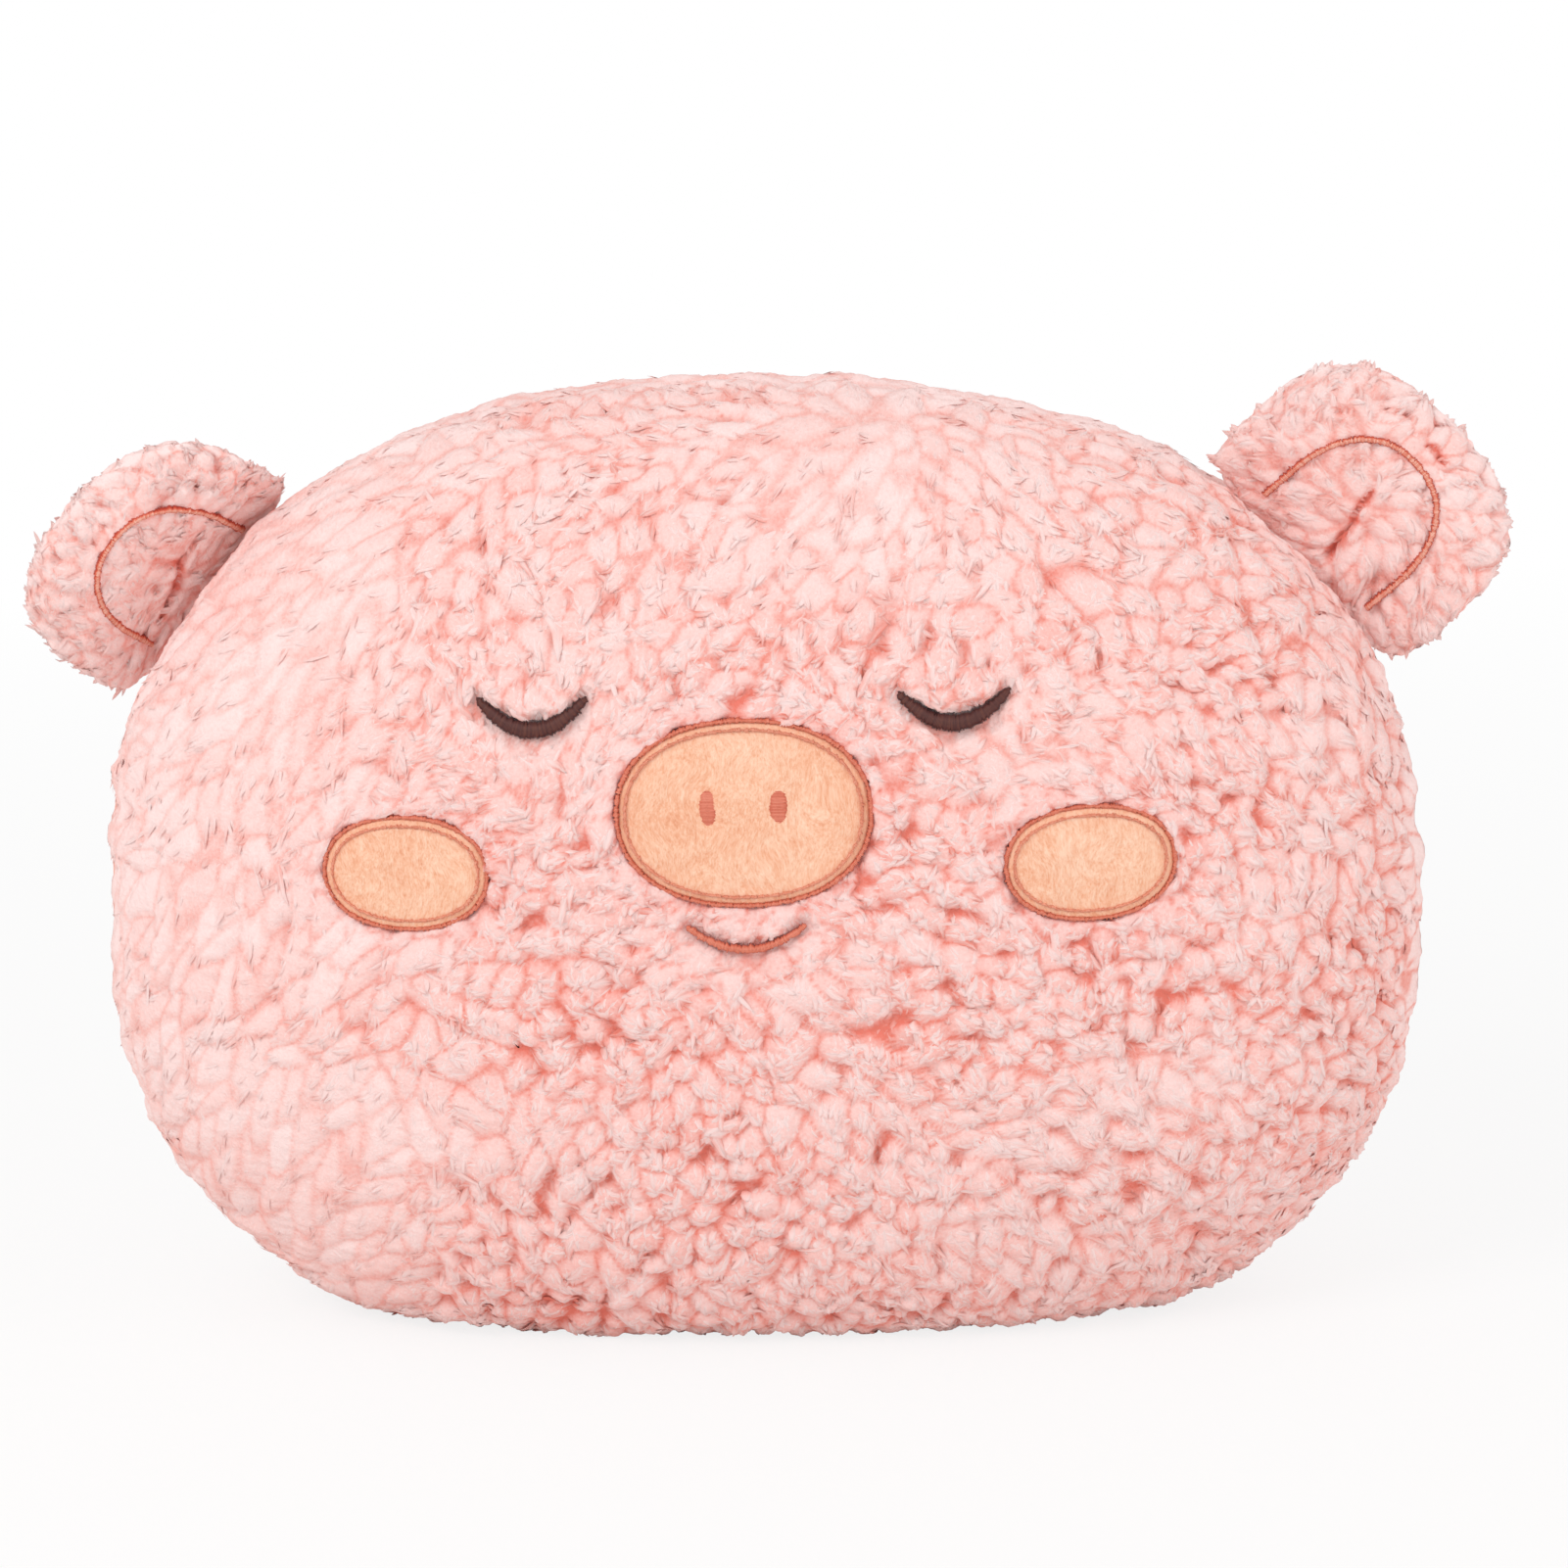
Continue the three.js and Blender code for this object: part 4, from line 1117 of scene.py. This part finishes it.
def buildEarPanel(ear, seat, part, seed):
    front = part == "front"
    side = -1 if front else 1
    share, turn, past, inset = hemmedDisc(earPile)
    spread = np.sin(share * math.pi / 2) * earRadius(turn)
    across, up = spread * np.cos(turn), spread * np.sin(turn)
    outwards = earShape["middle"] + up
    flat = xyz(across, side * earHeight(across, outwards), outwards)
    rim, nearRim = xyz(np.cos(turn), 0, np.sin(turn)), smooth(0.9, 1, share)
    normals = gridNormals(flat)
    normals = np.nan_to_num(normals * np.sign(normals[..., 1:2] * side + 1e-9))
    facing = unit(normals + rim * 0.5 * nearRim[..., None])
    normals = unit(normals + rim * nearRim[..., None])
    normals = np.where((past > -2)[..., None], unit(rim + [0, side * 0.2, 0]), normals)
    flat = flat - rim * inset

    # Pile runs outwards from the middle, and along the seam at the rim
    outline, grown = xyz(across, 0, up), past <= 0
    wander = xyz(drift(flat, 40, seed + 3), 0, drift(flat, 50, seed + 4))
    rimShare = smooth(0.8, 0.97, share)[..., None]
    along = xyz(rim[..., 2], 0, -rim[..., 0]) * np.sign(across + 1e-6)[..., None]
    flow = unit(outline + 1e-6) * (0.5 + share[..., None]) * (1 - 0.7 * rimShare)
    flow = flow + [0, 0, 0.6] * (1 - rimShare)
    lineGap = earLineDistance(across, outwards) if front else noLine + 0 * across
    pressed = smooth(-0.2, 2.4, lineGap + 0.3 * drift(flat, 4, seed + 6))
    # The folds sink the pile and also carry painted shade in its colour
    crease = creaseShare(across, outwards, ear["creases"]) if front else 0 * across
    parting = earPile["ragged"] * drift(outline, earPile["raggedSize"], seed + 9) * smooth(0.8, 1, share)
    sheet = {
        "points": flat + xyz(0, parting - side * earPile["lap"] * nearRim, 0),
        "normals": normals, "facing": facing, "flow": unit(flow - along * rimShare + 0.4 * wander),
        "combed": earPile["combed"] + 0 * across,
        "coarse": 1 + 0.1 * drift(flat, 30, seed + 5), "loose": smooth(-0.5, 2, lineGap), "grown": grown,
        "turned": rimShare[..., 0] if front else smooth(0.45, 0.75, share),
        "root": np.where(grown, earPile["pile"], 0.0),
        "limit": np.where(grown, earPile["full"] * pressed, 0.0),
        "crease": crease * earPile["creaseDepth"], "hemShade": 0.8, "block": 0.7, "grit": 0.2,
        "locks": earLocks, "wisps": earWisps if front else dict(earWisps, bare=1),
    }
    final, values, wisps = furSheet(sheet, seed + (0 if front else 50))
    bent = bendEar(ear, seat, wisps["points"])
    wisps["facing"] = unit(bendEar(ear, seat, wisps["points"] + 0.05 * wisps["facing"]) - bent)
    wisps["points"] = bent
    final[..., 1] = side * np.maximum(side * final[..., 1], side * parting - earPile["lap"])
    body = ear["name"] + "_ear"
    return gridMesh(f"{body}_{part}_fleece", bendEar(ear, seat, final), fleece if front else fleeceBack, body,
                    values=values, flipped=not front, wisps=wisps)


def buildEar(ear, seed):
    seat, body = earSeat(ear), ear["name"] + "_ear"
    front = buildEarPanel(ear, seat, "front", seed)
    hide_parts(body + "_front", body + "_filling")
    back = buildEarPanel(ear, seat, "back", seed)
    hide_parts(body + "_back")

    def onEar(across, outwards, inset):
        return bendEar(ear, seat, xyz(across, inset - earHeight(across, outwards), outwards))

    length = 2 * (earLine["springing"] - earLine["foot"]) + math.pi * earLine["rise"]
    band = satinBand(onEar, earLinePath, length, earLine["width"], -1.0, 0.8, seed + 20, closed=False,
                     slant=0.4, roundEnd=1.0)
    line = stitched(body + "_satin", band, earCoral, body, closed=False)
    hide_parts(body + "_stitching")


print("ears")
for number, ear in enumerate(ears):
    buildEar(ear, 200 + 100 * number)


# Floor, light and camera

stageLook = {
    "floor": "#f4f2f1", "floorSize": 60.0, "floorGlow": 0.82, "world": 0.73, "lampTarget": (0, 0, 0.14),
    "key": {"place": (-0.9, -1.15, 1.25), "size": 0.9, "power": 10.5, "colour": (1.0, 0.985, 0.97)},
    "fill": {"place": (1.3, -0.9, 0.5), "size": 1.4, "power": 5.5, "colour": (1.0, 0.98, 0.97)},
}


def seenDirectly(tree):
    # 1 for the camera and for what it sees mirrored or through glass
    path = tree.nodes.new("ShaderNodeLightPath")
    rays = [Wire(tree, path.outputs[name])
            for name in ("Is Camera Ray", "Is Glossy Ray", "Is Transmission Ray")]
    return (rays[0] + rays[1] + rays[2]).clamped()


def buildFloor():
    half = stageLook["floorSize"] / 2
    corners = [(-half, -half, 0), (half, -half, 0), (half, half, 0), (-half, half, 0)]
    mesh = bpy.data.meshes.new("floor")
    mesh.from_pydata(corners, [], [(0, 1, 2, 3)])
    floor = inScene("floor", mesh)
    paper = Finish("paleFloor", Roughness=0.9, Base_Color=linear(stageLook["floor"]))
    # Seen by the camera, the floor is mostly plain white with the cushion's soft shadow left in it
    glow = paper.node("ShaderNodeEmission", None, {"Color": (1, 1, 1, 1), "Strength": 1.0})
    away = paper.node("ShaderNodeVectorMath", {"operation": "LENGTH"}, {0: paper.place()}, output=1)
    far = ((away - 0.45) * 0.8).clamped()
    share = seenDirectly(paper.tree) * (stageLook["floorGlow"] + far * (1 - stageLook["floorGlow"]))
    plain = Wire(paper.tree, paper.shader.outputs[0])
    surface = paper.node("ShaderNodeMixShader", None, {0: share, 1: plain, 2: glow})
    connect(paper.tree, surface, paper.tree.nodes["Material Output"].inputs["Surface"])
    mesh.materials.append(paper.material)


def buildWorld():
    world = bpy.data.worlds.new("studio")
    bpy.context.scene.world = world
    world.use_nodes = True
    background = world.node_tree.nodes["Background"]
    strength = stageLook["world"] + seenDirectly(world.node_tree) * (1 - stageLook["world"])
    connect(world.node_tree, strength, background.inputs["Strength"])
    background.inputs["Color"].default_value = (1, 1, 1, 1)


def buildLamp(name):
    look = stageLook[name]
    light = bpy.data.lights.new(name, "AREA")
    light.shape = "DISK"
    light.size = look["size"]
    light.energy = look["power"]
    light.color = look["colour"]
    lamp = inScene(name, light)
    lamp.location = look["place"]
    aim = Vector(stageLook["lampTarget"]) - Vector(look["place"])
    lamp.rotation_euler = aim.to_track_quat("-Z", "Y").to_euler()


cameraLook = {
    "target": (0.0073, 0, 0.159), "distance": 1.130, "elevation": 11, "azimuth": 3, "roll": 1.55,
    "lens": 85, "sensor": 36,
}


def buildCamera():
    data = bpy.data.cameras.new("camera")
    data.lens = cameraLook["lens"]
    data.sensor_width = cameraLook["sensor"]
    data.dof.use_dof = False
    camera = inScene("camera", data)
    azimuth, elevation = math.radians(cameraLook["azimuth"]), math.radians(cameraLook["elevation"])
    back = Vector((math.sin(azimuth) * math.cos(elevation), -math.cos(azimuth) * math.cos(elevation),
                   math.sin(elevation)))
    camera.location = Vector(cameraLook["target"]) + back * cameraLook["distance"]
    aim = (-back).to_track_quat("-Z", "Y").to_matrix().to_4x4()
    camera.rotation_euler = (aim @ Matrix.Rotation(math.radians(-cameraLook["roll"]), 4, "Z")).to_euler()
    bpy.context.scene.camera = camera


print("stage")
buildFloor()
buildWorld()
buildLamp("key")
buildLamp("fill")
buildCamera()
bpy.context.scene.view_settings.view_transform = "Standard"
